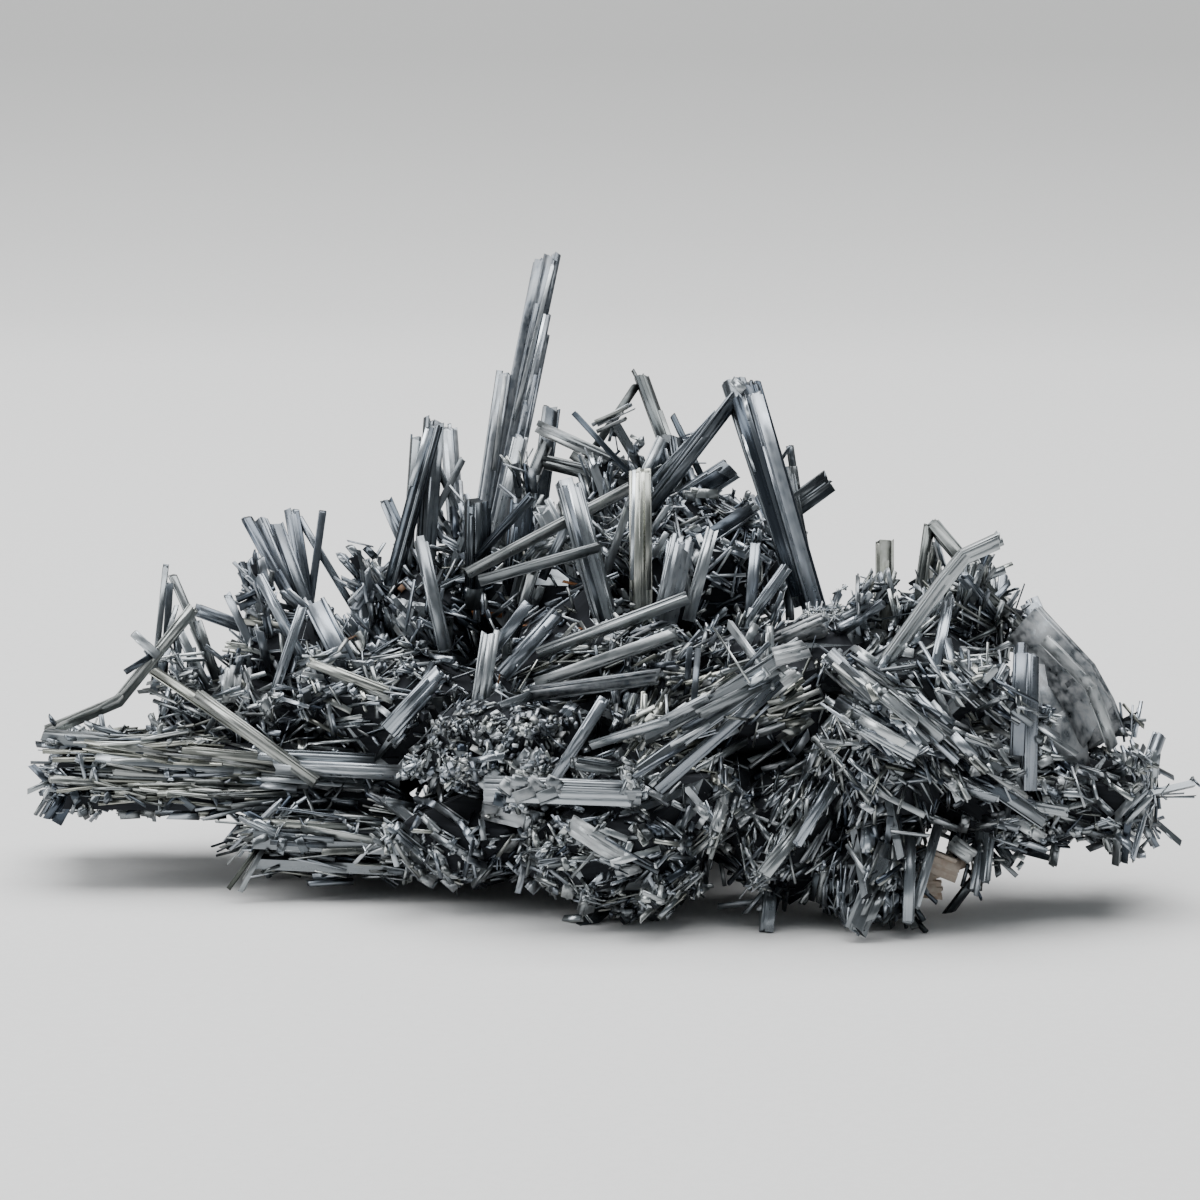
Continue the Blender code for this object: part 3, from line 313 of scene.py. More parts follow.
# Smaller crystals that can be told apart, each (foot across, foot up, tip across, tip up, width, finish) on
# the sight board; a plain finish isn't written. How far away they are comes from the mass behind them.
SMALL = {
    "left_end_crystals": [
        (-41.4, -3.5, -38.8, -7.6, 0.4), (-41.8, -4.5, -39.6, -7, 0.5, BLUE), (-40, -9, -39.3, -3.7, 0.3),
        (-40, -9, -37.8, -6.5, 0.25, DARK), (-39.4, -6.2, -36.2, -4.6, 0.6, PALE),
        (-37.2, -9.8, -36.8, -6.5, 1.2, DUSTY), (-39.9, -4.4, -41.2, -2, 0.7, BLUE),
        (-38.7, -8, -40.4, -4.6, 0.6, BLUE), (-44.6, -7, -46.9, -4.4, 0.6),
        (-46, -5.2, -47.9, -6.2, 0.6, PALE), (-45.8, -4.9, -47.9, -7.5, 0.4, DARK),
        (-45.8, -10, -44.3, -6.7, 0.4), (-45.2, -9.6, -44.4, -8.2, 0.35),
        (-45.5, -10.8, -44, -8.7, 0.35, PALE), (-46, -11.8, -45.6, -10, 0.3),
        (-49.5, -13, -48.7, -11.2, 0.35, DARK), (-48.4, -13.6, -51.6, -12.2, 0.35, PALE),
        (-49.4, -13.2, -52, -13, 0.3), (-47, -10, -46.2, -8.4, 0.3), (-46.2, -9.4, -47.8, -9.8, 0.3),
        (-42.5, -13.5, -44.9, -12.1, 0.6, DUSTY), (-41.6, -11.2, -44, -11.8, 0.3, PALE),
        (-38, -14, -40.2, -12.1, 0.4, BLUE), (-37.4, -13.6, -39.6, -11.4, 0.35),
        (-36.9, -13.2, -38.8, -11, 0.35, BLUE), (-34, -15.2, -37.5, -14.2, 0.4),
        (-46.8, -13.4, -47.2, -11.4, 0.35, DARK), (-43.4, -11.6, -42, -9.4, 0.4),
        (-42.4, -10.8, -44, -9, 0.35, DARK), (-40.8, -12.6, -42.6, -10.2, 0.4),
        (-41.2, -9.2, -43.4, -7.4, 0.4, PALE), (-42, -8.6, -42.6, -6.2, 0.4), (-43.2, -8.4, -43, -6, 0.5),
        (-44, -8.6, -41.6, -7.8, 0.35),
    ],
    "upper_ledge_crystals": [
        (-28, -16.6, -42, -15.3, 1.5, OLIVE_GREY), (-37, -16.8, -50.5, -15.7, 1.2),
        (-23, -18.4, -34, -17.6, 1.3), (-38, -18.5, -49, -17.3, 1.1, Tint(0.25, 0.6, 0.2)),
        (-46, -15.4, -56.5, -14.4, 0.6, DARK), (-51, -15.4, -56.2, -15, 0.4, BLUE),
        (-50.8, -17.7, -50.3, -15.3, 0.55, PALE), (-41.5, -16.1, -48, -15.8, 0.4, PALE),
        (-41.5, -16.5, -46.4, -16.5, 0.3, PALE), (-40, -17, -45.3, -17.1, 0.35, PAINTED_HIGHLIGHT),
        (-36, -17.4, -43, -17.6, 0.6, BLUE), (-50.2, -18.3, -55.2, -17.9, 0.9, OLIVE_GREY),
        (-45.8, -19.7, -50.8, -18.2, 0.8, OLIVE_GREY), (-46.4, -18.8, -50.6, -17.9, 0.35, PAINTED_HIGHLIGHT),
        (-38, -19, -44.4, -19.4, 1, OLIVE_GREY), (-31.8, -19.4, -37.4, -19.3, 1.1, OLIVE_GREY),
        (-52.8, -18.6, -52.2, -20.4, 0.8, DARK), (-50, -19, -50.7, -20.3, 0.7, DARK),
        (-49.4, -19.2, -49.2, -20.3, 0.8, DARK), (-48, -19.2, -46.9, -20, 0.5),
        (-47.4, -19.4, -45.3, -20.7, 0.5, DARK), (-44, -19.4, -43.9, -21.2, 0.5),
        (-42.4, -19.6, -43.9, -21.2, 0.6, DARK), (-42.2, -19.6, -40.5, -20.9, 0.7, DARK),
        (-37.2, -20.4, -40.5, -20.9, 0.5, PALE), (-36, -21, -40, -22, 0.4, PALE),
        (-38.6, -19.6, -38.1, -20.6, 0.5, DARK), (-33.2, -16.2, -40, -15.8, 0.7, PALE),
        (-32.6, -17.3, -40, -16.9, 0.7, PALE), (-31.5, -18.2, -39, -17.7, 0.6),
        (-30.8, -18.6, -36, -18.4, 0.4, BLUE), (-25, -15.3, -31, -14.8, 0.9),
        (-22.8, -16.4, -29.6, -16.1, 0.6), (-27, -15, -29.6, -15, 0.5, PAINTED_HIGHLIGHT),
        (-30.2, -15.7, -31.7, -15.6, 0.9, DUSTY), (-51.6, -16.4, -54.8, -16, 0.5, DARK),
        (-47.4, -16.9, -51.8, -16.6, 0.4, DARK), (-46, -17.9, -49.4, -17.4, 0.5),
        (-44.6, -18.4, -47.2, -17.2, 0.5), (-53.4, -17.4, -54.8, -16.8, 0.6, BLUE),
        (-40.6, -18, -43.8, -18.2, 0.5, DARK), (-28.4, -17.8, -30.8, -17.2, 0.5, BLUE),
        (-24.4, -17.6, -28.4, -17.2, 0.7), (-26, -18.8, -28.6, -18.2, 1, DUSTY),
        (-22.4, -19, -25.8, -18.6, 0.8, DUSTY), (-28, -20, -29.2, -18.8, 0.5, BLUE),
        (-31.2, -19.4, -31.8, -18.5, 0.45, PAINTED_HIGHLIGHT), (-24.6, -20.4, -27, -20.2, 0.9, DARK),
    ],
    "lower_ledge_crystals": [
        (-28.2, -22.4, -29.6, -18.8, 0.5, PALE), (-25, -22.8, -35.5, -22.2, 0.9, OLIVE_GREY),
        (-33.5, -21.9, -35.4, -21.6, 0.3, PAINTED_HIGHLIGHT), (-22, -24.2, -30, -22.8, 0.7, OLIVE_GREY),
        (-27, -24, -34.8, -23.3, 0.6, DARK), (-33.6, -23.8, -34.9, -24.4, 0.7),
        (-24, -25.1, -27.9, -25.2, 0.6, OLIVE_GREY), (-31.8, -24.2, -32.1, -25.5, 0.8, DARK),
        (-30, -24.2, -29.4, -25.4, 0.8, DARK), (-27.8, -24.6, -33, -24.2, 0.5, DARK),
        (-21.6, -23.8, -23.3, -25, 0.4, PALE), (-23.1, -24.8, -24.6, -26.4, 0.4, PALE),
        (-21.2, -24.7, -23.4, -25.4, 0.3, PALE), (-21.5, -22.8, -20.3, -26.7, 0.5, PAINTED_HIGHLIGHT),
        (-21.3, -23, -19, -26.6, 0.5, PALE), (-21, -22.8, -18, -25.4, 0.6, PAINTED_HIGHLIGHT),
        (-20.6, -22.8, -17.2, -26.6, 0.45, PALE), (-20.9, -23, -18.8, -24.8, 0.5, PALE),
        (-16.4, -23, -18, -21.5, 0.8, PALE), (-22.4, -22, -24.4, -20.8, 0.5),
        (-22, -23, -23.8, -22, 0.5, DARK), (-17, -28.2, -18.2, -27.4, 1, DUSTY),
        (-14.6, -28.6, -15.7, -27.6, 1, DUSTY), (-15, -28, -15.8, -25.8, 0.6),
        (-19.4, -27.4, -21.4, -26.8, 0.7), (-22.6, -25.8, -20.4, -26.2, 0.7, DARK),
        (-17.4, -25, -21.8, -21.8, 0.5, DARK), (-13.2, -25.6, -17, -23.2, 0.8),
        (-18.6, -20.6, -21.6, -20, 0.6), (-16.2, -20.6, -18.6, -19.8, 0.7, BLUE),
        (-13.6, -22.4, -16.4, -20.4, 0.8), (-12.6, -24.2, -14.2, -21.8, 0.8, BLUE),
        (-25.6, -21.4, -27.6, -20.8, 0.4), (-30.4, -20.6, -31.2, -21.8, 0.4, DARK),
    ],
    "slope_crystals": [
        (-26.8, -6.2, -25.2, -3.7, 0.5, OLIVE_GREY), (-26.7, -6.5, -25.9, -4.8, 0.4),
        (-24.3, -6.2, -25.4, -4.2, 0.5, PALE), (-24, -5.8, -25, -4.4, 0.4, PAINTED_HIGHLIGHT),
        (-23.6, -6.8, -25.8, -6.5, 1.3), (-21, -10, -27, -7.7, 0.6, OLIVE_GREY),
        (-23.6, -5.5, -22.7, -2.1, 0.5, DARK), (-23, -5.8, -22.3, -3.6, 0.35, PAINTED_HIGHLIGHT),
        (-18, -5, -20.2, -1.6, 0.7, PALE), (-17.8, -4.4, -19.2, -2.4, 0.5, BLUE),
        (-18.6, -5.3, -20.6, -2.6, 0.5), (-20.6, -3.6, -21.6, -0.5, 0.9), (-18, -5.1, -23, -5.8, 0.25),
        (-18.5, -5.5, -22, -5.9, 0.2), (-20, -6.3, -22.5, -6, 0.25, PALE), (-19.8, -6.2, -18.8, -8, 0.25),
        (-29, -6.8, -31.8, -8, 0.5, DARK), (-31.6, -8, -34.2, -9.2, 0.45, PALE),
        (-35.7, -8.3, -34.8, -9.3, 0.4), (-31, -8.2, -30.4, -5.8, 0.5), (-30, -9, -30.2, -5.5, 0.6, DARK),
        (-31.7, -5.8, -31.9, -3.2, 0.5, PALE), (-32, -7.2, -32.8, -5.8, 0.5),
        (-35.5, -10, -35.3, -6.8, 0.9, DUSTY), (-36.4, -9.6, -36.2, -6.6, 0.8, DUSTY),
        (-37.2, -9.4, -37.8, -7.4, 0.7, PALE), (-32.4, -13.8, -33.9, -9.6, 1.4),
        (-29.5, -9, -27.8, -8.2, 0.5, BLUE), (-28.4, -8.8, -26.4, -8.2, 0.4, PAINTED_HIGHLIGHT),
        (-27.4, -9.6, -24.6, -8.6, 0.6, BLUE), (-25.2, -11, -28.4, -9.4, 0.6, OLIVE_GREY),
        (-22.8, -9.8, -24.6, -9.5, 0.45, PALE), (-22.3, -11.4, -22.4, -9.6, 0.5),
        (-19.9, -12.5, -22.2, -10.6, 0.6, PALE), (-31.8, -3.2, -33.5, -2.5, 0.6, BLUE),
        (-26.7, -0.6, -26.7, 4.4, 0.4, BLUE), (-24.6, 0.4, -28.2, 1.8, 0.6, DARK),
        (-29, 2.6, -29.3, 6.9, 0.4, PAINTED_HIGHLIGHT), (-34.2, -13.8, -35.5, -11.8, 0.4),
        (-34.8, -13.2, -36.4, -11, 0.35, PALE), (-26, -13.5, -30.2, -11.4, 0.4, OLIVE_GREY),
        (-26, -13.2, -28, -11, 0.3, BLUE), (-31.7, -13.6, -29.5, -11.5, 0.35),
        (-31.9, -14.5, -31, -12, 0.3, BLUE), (-31.2, -13.8, -29.4, -12.4, 0.3, PALE),
        (-28, -13.7, -31.2, -14, 0.3), (-24.6, -14, -30, -14.5, 0.35),
        (-30.6, -10.4, -27.6, -10.8, 0.4, DARK), (-29.4, -10.6, -32, -9.8, 0.4, PALE),
        (-26.2, -12, -23.8, -11.6, 0.4), (-25.4, -12.6, -22.2, -12.4, 0.4),
        (-23.8, -13.6, -21.2, -12.8, 0.5, DARK), (-19, -9.2, -22, -8.6, 0.4),
        (-19.2, -9.6, -21.6, -9.2, 0.35, PALE), (-30.8, -7.4, -28.4, -7, 0.4),
        (-33.6, -11, -31.4, -10.6, 0.4), (-36.4, -11.8, -35.6, -10, 0.5), (-38.6, -10.6, -36.8, -10, 0.4),
        (-24.8, -10.6, -22.6, -10.2, 0.4, DARK), (-27.6, -12.6, -29.6, -13.2, 0.35),
        (-27.6, -6.9, -29.4, -5, 0.5), (-26.4, -4.6, -28.6, -2.2, 0.6, PALE), (-25.4, -4.4, -27.4, -0.4, 0.6),
        (-26.4, -4.4, -29.4, 0, 0.7, BLUE),
    ],
    "hollow_crystals": [
        (-16.2, -5.4, -18.8, -2.2, 0.4, PALE), (-16, -5.2, -18, -2, 0.35),
        (-16.2, -5.3, -17.2, -2.6, 0.35, PAINTED_HIGHLIGHT), (-16.2, -5.4, -16.8, -2.6, 0.3, DARK),
        (-15.9, -5, -16.2, -3, 0.6, PALE), (-19.6, -0.4, -20.6, -2.2, 1, PALE),
        (-15.4, -1.8, -15.6, -0.8, 0.8, PALE), (-14, -3.4, -19.8, -1.9, 0.7, DARK),
        (-12, -3.5, -15.2, -0.8, 1.5, DARK), (-15.5, -5.2, -20.5, -4.9, 0.35, PALE),
        (-17.5, -5, -22, -6, 0.4, PALE), (-15.7, -6.2, -20, -6.6, 0.4, PALE),
        (-12.2, -7, -14.8, -7.9, 0.35, PALE), (-19.7, -9, -21.5, -8.6, 0.4, PALE),
        (-10.8, -8.2, -10, -3.2, 0.9, DARK), (-10.2, -8.6, -11.2, -9.1, 0.6, PAINTED_HIGHLIGHT),
        (-13.4, -5.6, -14.4, -4.4, 0.3, PALE), (-13.2, -6, -14, -4.8, 0.3, PALE),
        (-13.6, -4.4, -12.6, -5.4, 0.25, PALE), (-14.6, -5, -13.2, -4.8, 0.2, PALE),
        (-12.4, 3.4, -16.9, 7.3, 0.7, BLUE), (-12.8, 3.5, -15.8, 3.2, 0.3, OLIVE_GREY),
        (-15.8, 1.2, -14.4, 4.2, 0.25, PALE), (-12.2, 3, -16.2, 1, 0.8, DARK),
        (-12.4, 2.2, -15.8, 1.6, 0.5, BLUE), (-12.2, 4.2, -10.2, 8.2, 1, DARK), (-11.6, 2.4, -9.6, 2.4, 0.4),
        (-3.8, 6.2, -6.6, 5.2, 0.9), (-5, 7, -9, 6.2, 0.5), (-4.8, 7.8, -7, 7.3, 0.4, PALE),
        (-4.8, 8.4, -7.2, 7.6, 0.35, PALE), (-8.2, -3.3, -2.1, 0.8, 0.3, BLUE), (-7.5, -0.2, -7, 2.2, 0.8),
        (-6.6, -0.6, -5.8, 1.4, 0.8), (-12.6, 11, -12.5, 16.4, 0.5, BLUE), (-1.2, -3.4, -2, -2.2, 0.4, PALE),
        (-0.1, -2.9, -0.6, -1.8, 0.4, PAINTED_HIGHLIGHT), (-2.2, -2.2, -4.4, -1.4, 0.3),
        (-5.4, -3.6, -4.8, -3, 0.45, PAINTED_HIGHLIGHT), (-6.8, -4.4, -7.2, -5.4, 0.5, PALE), (-14.8, 2.4, -13, 5, 0.3),
        (-11, 1.2, -13.2, 0.4, 0.4, DARK), (-13.4, -0.4, -15, 0.2, 0.5, DARK),
        (-10.4, -1.4, -8.6, 0, 0.5, DARK), (-12.4, 0, -9.8, -0.6, 0.5), (-9.4, 4, -8.2, 6, 0.4, DARK),
    ],
    "back_crystals": [
        (1.4, 12.6, 1.1, 16.5, 0.4), (2.7, 12.6, 2.9, 15, 0.2, BLUE), (4.8, 12.4, 4, 14.6, 0.8, DARK),
        (5.2, 11.8, 6.6, 15.8, 1.2, DARK), (8.2, 12.6, 7.6, 16.4, 1.6, DARK), (0.7, 10.2, 0.6, 13, 0.7, BLUE),
        (-0.4, 8.8, 3.2, 10.9, 0.5), (0.8, 1.4, -1.2, 4.4, 1.4, PALE), (1.6, 1, -0.4, 4.2, 0.9),
        (9.3, 7.2, 6, 9.4, 0.5, PALE), (7.6, 7, 5.4, 7.8, 0.35, BLUE), (10, 12.9, 11.8, 13.7, 0.5, PAINTED_HIGHLIGHT),
        (13.3, 9.8, 11.3, 12.8, 0.6, DARK), (13.6, 10, 11.9, 12.7, 0.3, PALE),
        (9.6, 13, 12.6, 14.1, 0.4, BLUE), (10.2, 13.4, 12.2, 15.4, 0.8, BLUE), (14.4, 10.2, 13, 13, 0.9),
        (13.8, 8.4, 15.8, 9.8, 1.5, PALE), (14.2, 9, 15.2, 9.6, 0.5, PAINTED_HIGHLIGHT), (9.8, 5.4, 15.4, 9.2, 1.6, DARK),
        (9.2, 8.2, 7.4, 10.2, 0.6, BLUE), (13.7, 7.9, 18.2, 4.8, 0.5, PAINTED_HIGHLIGHT), (11.6, 7.2, 13.7, 8, 0.4, PALE),
        (6.4, -0.4, 6.9, 6, 0.7, BLUE), (7.6, 0, 7.8, 5.6, 0.8, PALE), (8.6, 0, 8.9, 6.4, 0.7, PALE),
        (4.2, 4.6, 6.4, 4.4, 0.5, BLUE), (9.2, 3.4, 10, 5.4, 0.6, PALE), (8.8, 2.4, 9.6, 4.4, 0.6, DUSTY),
        (10.3, 2.5, 13.4, 5.5, 0.5, PALE), (11.6, 2.6, 13.2, 5.2, 0.4, PALE), (14.6, 3, 12, 6.2, 0.45),
        (10, 2.4, 14.6, 2.5, 0.4, PALE), (12, 1.6, 15.6, 2, 0.4), (17.4, 4.2, 16.2, 5.6, 0.35, PALE),
        (-8.4, 14, -7.2, 16.4, 1, DARK), (-5.8, 9.6, -8, 14, 1.2, DARK), (1, 6, 3.2, 4.4, 0.25),
        (2.8, 7.6, 0.6, 6, 0.2, PALE), (1.2, 8.6, 2.6, 7.2, 0.2, PALE), (0.4, 7.2, 2.4, 8.8, 0.2, PALE),
        (2.2, 5.2, 3, 6.8, 0.25, PALE), (6.6, 4.4, 5.4, 6.4, 0.4, DARK), (15.6, 1.8, 17.6, 4.4, 0.6, DARK),
        (16.8, 7.2, 18.6, 3.2, 1, DARK), (5.4, 5.2, 6.2, 3.6, 0.3), (10.8, 4, 9.8, 6.6, 0.6, PALE),
        (17.8, 8.6, 19.4, 6, 0.6),
    ],
    "peak_foot_crystals": [
        (21.2, -1.4, 18.9, 3, 0.35, PALE), (20.8, 1, 18.5, 2.4, 0.35), (19, -1.6, 18.8, 2, 0.9, DARK),
        (20, -1.8, 19.6, 1.4, 0.8, DARK), (17.4, -1.2, 17.2, -0.4, 0.6, PALE), (16.8, -1.4, 16.2, -0.8, 0.5),
        (21.2, 3.8, 22.9, 4.8, 0.7, BLUE), (22, 1.8, 22.8, 4, 0.4, BLUE), (23.4, 1.6, 22.8, 4, 0.4, BLUE),
        (23.6, 0.8, 24.8, 1.4, 0.4), (22.5, -2, 22.5, -3.2, 0.6, PAINTED_HIGHLIGHT), (11.2, -1.7, 13.4, -1.4, 0.5, PALE),
        (13.4, -1.4, 15.4, -2, 0.45), (15.4, -2, 17, -2.7, 0.4, PALE), (16.6, -7.4, 12.8, -2.2, 0.8, PALE),
        (14.8, -8, 11.3, -2.7, 0.35), (15.2, -8.2, 16.6, -7.2, 0.7, PAINTED_HIGHLIGHT),
        (18.2, -4.2, 22.8, -2.2, 2.4, DUSTY), (17.8, -5.6, 21, -4.8, 1.8, DUSTY),
        (17.2, -8.8, 19.8, -6.8, 1.8, DUSTY), (15.4, -2.8, 14.6, -4.6, 0.8), (9, -0.4, 10.6, 0.9, 0.4, PALE),
        (9.6, -2.8, 9.2, -0.6, 0.35), (8.6, -10, 9, -4.4, 0.6, DARK), (9.4, -10.2, 9.8, -4.8, 0.6, DARK),
        (12.4, -6.6, 10.6, -4.4, 0.3, DARK), (13.4, -4.2, 12.2, -5.8, 0.3), (11, -7, 12.2, -6.4, 0.3, PALE),
        (17.4, -2.8, 18.4, -1.4, 0.4), (16.2, 0.4, 14.4, 1.6, 0.5, DARK), (13, 0.8, 11, 1.8, 0.5, DARK),
        (12, -0.6, 14.2, 0.6, 0.4, DARK),
    ],
    "front_crystals": [
        (4.6, -2.9, 5.4, -2.1, 0.5, PAINTED_HIGHLIGHT), (2.2, -3.4, 3.9, -3.2, 0.6, PALE),
        (0.8, -5.2, 1.4, -3.5, 0.4, PALE), (1.3, -5.2, 1.9, -3.4, 0.35), (2, -5.2, 2.2, -3.6, 0.35, PALE),
        (4.2, -7.3, 4.8, -5.6, 0.5, PALE), (5.4, -7.3, 6.1, -5.3, 0.6, PAINTED_HIGHLIGHT), (6.4, -7.4, 7, -5, 0.6),
        (3.5, -7.3, 4.1, -5.8, 0.4), (2.3, -10.7, 2.9, -9, 0.6, PAINTED_HIGHLIGHT), (1.4, -12.9, 2, -11.9, 0.8, PAINTED_HIGHLIGHT),
        (4.7, -10.8, 5, -10.2, 0.6, PAINTED_HIGHLIGHT), (2.4, -13, 3.6, -9.2, 0.8), (3.4, -13, 4.4, -9.2, 0.7, BLUE),
        (4.6, -12.6, 5.3, -9.2, 0.8, BLUE), (6.2, -11.8, 6.3, -8.8, 0.5, PALE),
        (6.8, -12, 6.6, -9.4, 0.4, PALE), (7.5, -8.4, 7.6, -6, 0.5, BLUE),
        (7.6, -10.1, 8.3, -9.5, 0.45, PALE), (10.4, -10, 6, -12.3, 0.9, PALE), (6.4, -12.2, -1, -14.5, 0.9),
        (1.8, -15.6, 2.4, -15, 0.9, PALE), (15.6, -8.6, 9.6, -11.6, 1), (19.2, -11, 15.6, -12.4, 0.9, PALE),
        (20.6, -11.6, 15.6, -13.4, 0.9, PALE), (15.5, -13.7, 16.2, -13.3, 0.5, PAINTED_HIGHLIGHT),
        (19.2, -13.6, 14.6, -17, 0.5), (20, -14.8, 15.2, -18, 0.6, DARK), (18.4, -10, 21.2, -8.6, 0.4, PALE),
        (22.3, -9.8, 21.5, -8.2, 0.4, PALE), (23.8, -16, 21.2, -13.8, 0.8, PALE),
        (13.4, -13, 9.2, -15.2, 0.8, PALE), (14.4, -14.2, 9.4, -17.2, 0.7),
        (10.6, -12.6, 7, -14.6, 0.5, PALE), (12.6, -10.6, 8.2, -13, 0.6, DARK),
        (8.2, -14.8, 3.2, -17.8, 0.5, DARK), (17.6, -15, 14.8, -16.2, 0.6),
        (19.8, -17.4, 17.6, -17.9, 0.5, PALE), (7, -16.8, 5, -18.6, 0.5),
        (-7.8, -17.2, -9.6, -15.8, 0.5, PALE), (0.6, -16.5, -1.9, -16.1, 1, DUSTY),
        (2.7, -17, 0.4, -16.8, 0.9, DUSTY), (-8, -20.4, -10, -19.4, 0.4, PAINTED_HIGHLIGHT),
        (-14.4, -16.5, -15.8, -14.8, 0.5, PAINTED_HIGHLIGHT), (-11.8, -17, -10.4, -14.6, 1.2, BLUE),
        (-7.8, -16.4, -6.6, -15, 1.5, PALE), (-3.4, -11.4, -2.4, -10.2, 1.2, BLUE),
        (-9.6, -10.6, -6.4, -9.4, 1), (-18.6, -15, -17.6, -14.2, 0.8, PALE),
        (-13.6, -17.4, -14.4, -16.9, 0.5, PAINTED_HIGHLIGHT), (-1.8, -12.4, -2.2, -11, 0.45, PAINTED_HIGHLIGHT),
        (-5, -10, -3.2, -9.6, 0.6, PALE), (-9.4, -14.4, -8.4, -12.8, 0.9, DARK),
        (-14.6, -12.6, -12.4, -12, 0.8, DARK), (-10.6, -17.2, -9.2, -18.4, 1.2),
        (-9.4, -19.4, -7.8, -18.6, 1.1, DUSTY), (-8.4, -17.2, -6.8, -18, 1.2, PALE),
        (-7.6, -19.6, -6.2, -18.8, 1), (-6.6, -17, -5.2, -17.8, 1.2, DUSTY), (-5.6, -19.4, -4.4, -18.4, 1.1),
        (-10.2, -18.6, -8.8, -17.8, 0.8, DARK), (-6, -18.6, -4.8, -19.6, 0.9, DARK),
        (-11.6, -18.2, -10.4, -19.4, 1), (-4.6, -17.2, -3.4, -18.2, 1, PALE),
        (-3.6, -19.3, 4.3, -19.7, 1.9, PALE),
    ],
    "underside_crystals": [
        (-11.2, -21, -5.8, -22.3, 1.9, DUSTY), (-7.8, -24, -7.6, -23.2, 0.35, PALE),
        (-7.6, -25.2, -4.2, -24.7, 0.3), (-9.6, -23.6, -7.6, -23.3, 0.25),
        (2, -25.6, -3.2, -22.2, 1.9, DUSTY), (5.6, -25, 1, -26.4, 0.7, PALE),
        (2.4, -23.8, -0.4, -22.7, 0.6, PALE), (3.3, -22.9, 3.8, -22.3, 0.7, PALE),
        (9.2, -21.2, 7.2, -20.2, 0.6, PALE), (9, -21.4, 7.6, -23, 0.7, PALE),
        (10.6, -21.6, 9.4, -20.6, 0.6, PALE), (10.4, -21.8, 9.6, -23, 0.6, PALE),
        (5, -23, 6.6, -23.8, 1.4, DARK), (2, -27.4, 4.2, -26.6, 1, DUSTY), (8, -24.9, 8.9, -23.6, 1, PALE),
        (-2.2, -27, -1.8, -26.5, 0.4, PAINTED_HIGHLIGHT), (-1.6, -29.2, 0.4, -27.4, 0.5, PALE),
        (-3.2, -29.3, -3, -28.3, 1.2, DUSTY), (-1.4, -30.8, -1, -29.2, 1.6),
        (-2.8, -31, -2.9, -29.6, 1, PALE), (-6.8, -28.8, -6, -28, 1.2, PALE), (-4.8, -28.9, -4.2, -28, 1),
        (-7.6, -28, -6.8, -29.2, 0.35, PALE), (-8.4, -26.9, -10.2, -26.5, 0.5, PALE),
        (-4.4, -27.8, -8, -26.2, 0.5), (-3.6, -26.4, -7, -25.7, 0.5), (6, -30, 4.2, -29.2, 0.5, PALE),
        (5.9, -30, 6.1, -28.6, 0.5, PALE), (10, -31.7, 7.2, -30.8, 0.6, PALE), (1.6, -31, 3.4, -31.4, 1),
        (4, -31.2, 6, -31.8, 1), (6.6, -31.9, 10.4, -32.7, 0.8), (10.6, -28.2, 10.4, -26, 0.5),
        (-11.7, -23.6, -11.9, -21.8, 0.6, PALE), (21.4, -18, 19.9, -20.9, 0.6, PALE),
        (20.4, -17.4, 19.4, -19.9, 0.45, PALE), (21.9, -18.4, 21.1, -19.4, 0.4, PALE),
        (23.6, -19, 19.6, -24.4, 0.65, PALE), (24.6, -19.4, 23.5, -21.1, 0.5, PALE),
        (24.1, -20.6, 23.6, -23, 0.45), (17.8, -25.6, 16.4, -28.3, 0.4, PALE), (19.2, -23, 14.5, -21.3, 0.5),
        (15.8, -18.2, 13.2, -21.2, 0.4, BLUE), (15.4, -22.2, 14, -24.5, 0.4),
        (20.4, -24.1, 21.5, -24.8, 0.5, PAINTED_HIGHLIGHT), (22.2, -25, 22, -26.6, 0.5, PALE),
        (21, -26.6, 19, -27.9, 0.4), (21.4, -28, 20.5, -28.9, 0.35, PALE),
        (12.2, -30.6, 17.6, -29.9, 0.55, PALE), (22, -30.2, 23.8, -30.9, 0.45),
        (24.6, -26.6, 24.3, -29.4, 0.35, PALE), (24.9, -24.8, 26.6, -27.4, 0.5, PALE),
        (26.4, -17.5, 26.5, -19.8, 0.6, PALE), (27, -18, 27.3, -20.1, 0.35),
        (26.2, -20.5, 27.5, -21.3, 0.6, PALE), (26.8, -23.1, 26.7, -25.6, 1.3, PAINTED_HIGHLIGHT),
        (28.2, -19.4, 32.6, -21.6, 0.6, PALE), (31.2, -20.9, 32.6, -21.5, 0.5, PAINTED_HIGHLIGHT),
        (32.6, -21.6, 36.2, -23, 0.8, PALE), (30.2, -18, 32.2, -19.4, 0.5), (29.5, -23.2, 33, -23.6, 0.5),
        (33, -24.6, 31.6, -28.7, 0.6, PALE), (30.2, -28.6, 30.8, -32.6, 0.45, PALE),
        (31, -25, 30.4, -27.2, 0.5), (28.4, -29.4, 29.9, -31.4, 0.6, BLUE),
        (28.1, -29.8, 28.8, -29.1, 0.6, PAINTED_HIGHLIGHT), (29.3, -26.6, 28.8, -28.4, 0.4, PALE),
        (26.5, -27.8, 25, -32, 0.5), (23.2, -32.8, 24.9, -33.4, 0.9, BLUE),
        (22.4, -31.8, 23.8, -32.8, 0.9, BLUE), (16.8, -33, 17.4, -32.2, 0.6, PAINTED_HIGHLIGHT),
        (10.6, -31, 10, -32.4, 1.2, PALE), (12.4, -28.2, 12, -25.8, 0.4), (12.6, -18, 12.2, -20.6, 1, DUSTY),
        (12.2, -20.8, 11.4, -23.2, 1, PALE), (11.6, -24.5, 13.4, -25.3, 1.2, DUSTY),
        (12, -16.8, 13.4, -17.4, 0.9, PALE), (25, -16, 25.6, -14.6, 0.5), (22.4, -16, 22.7, -18.2, 0.35),
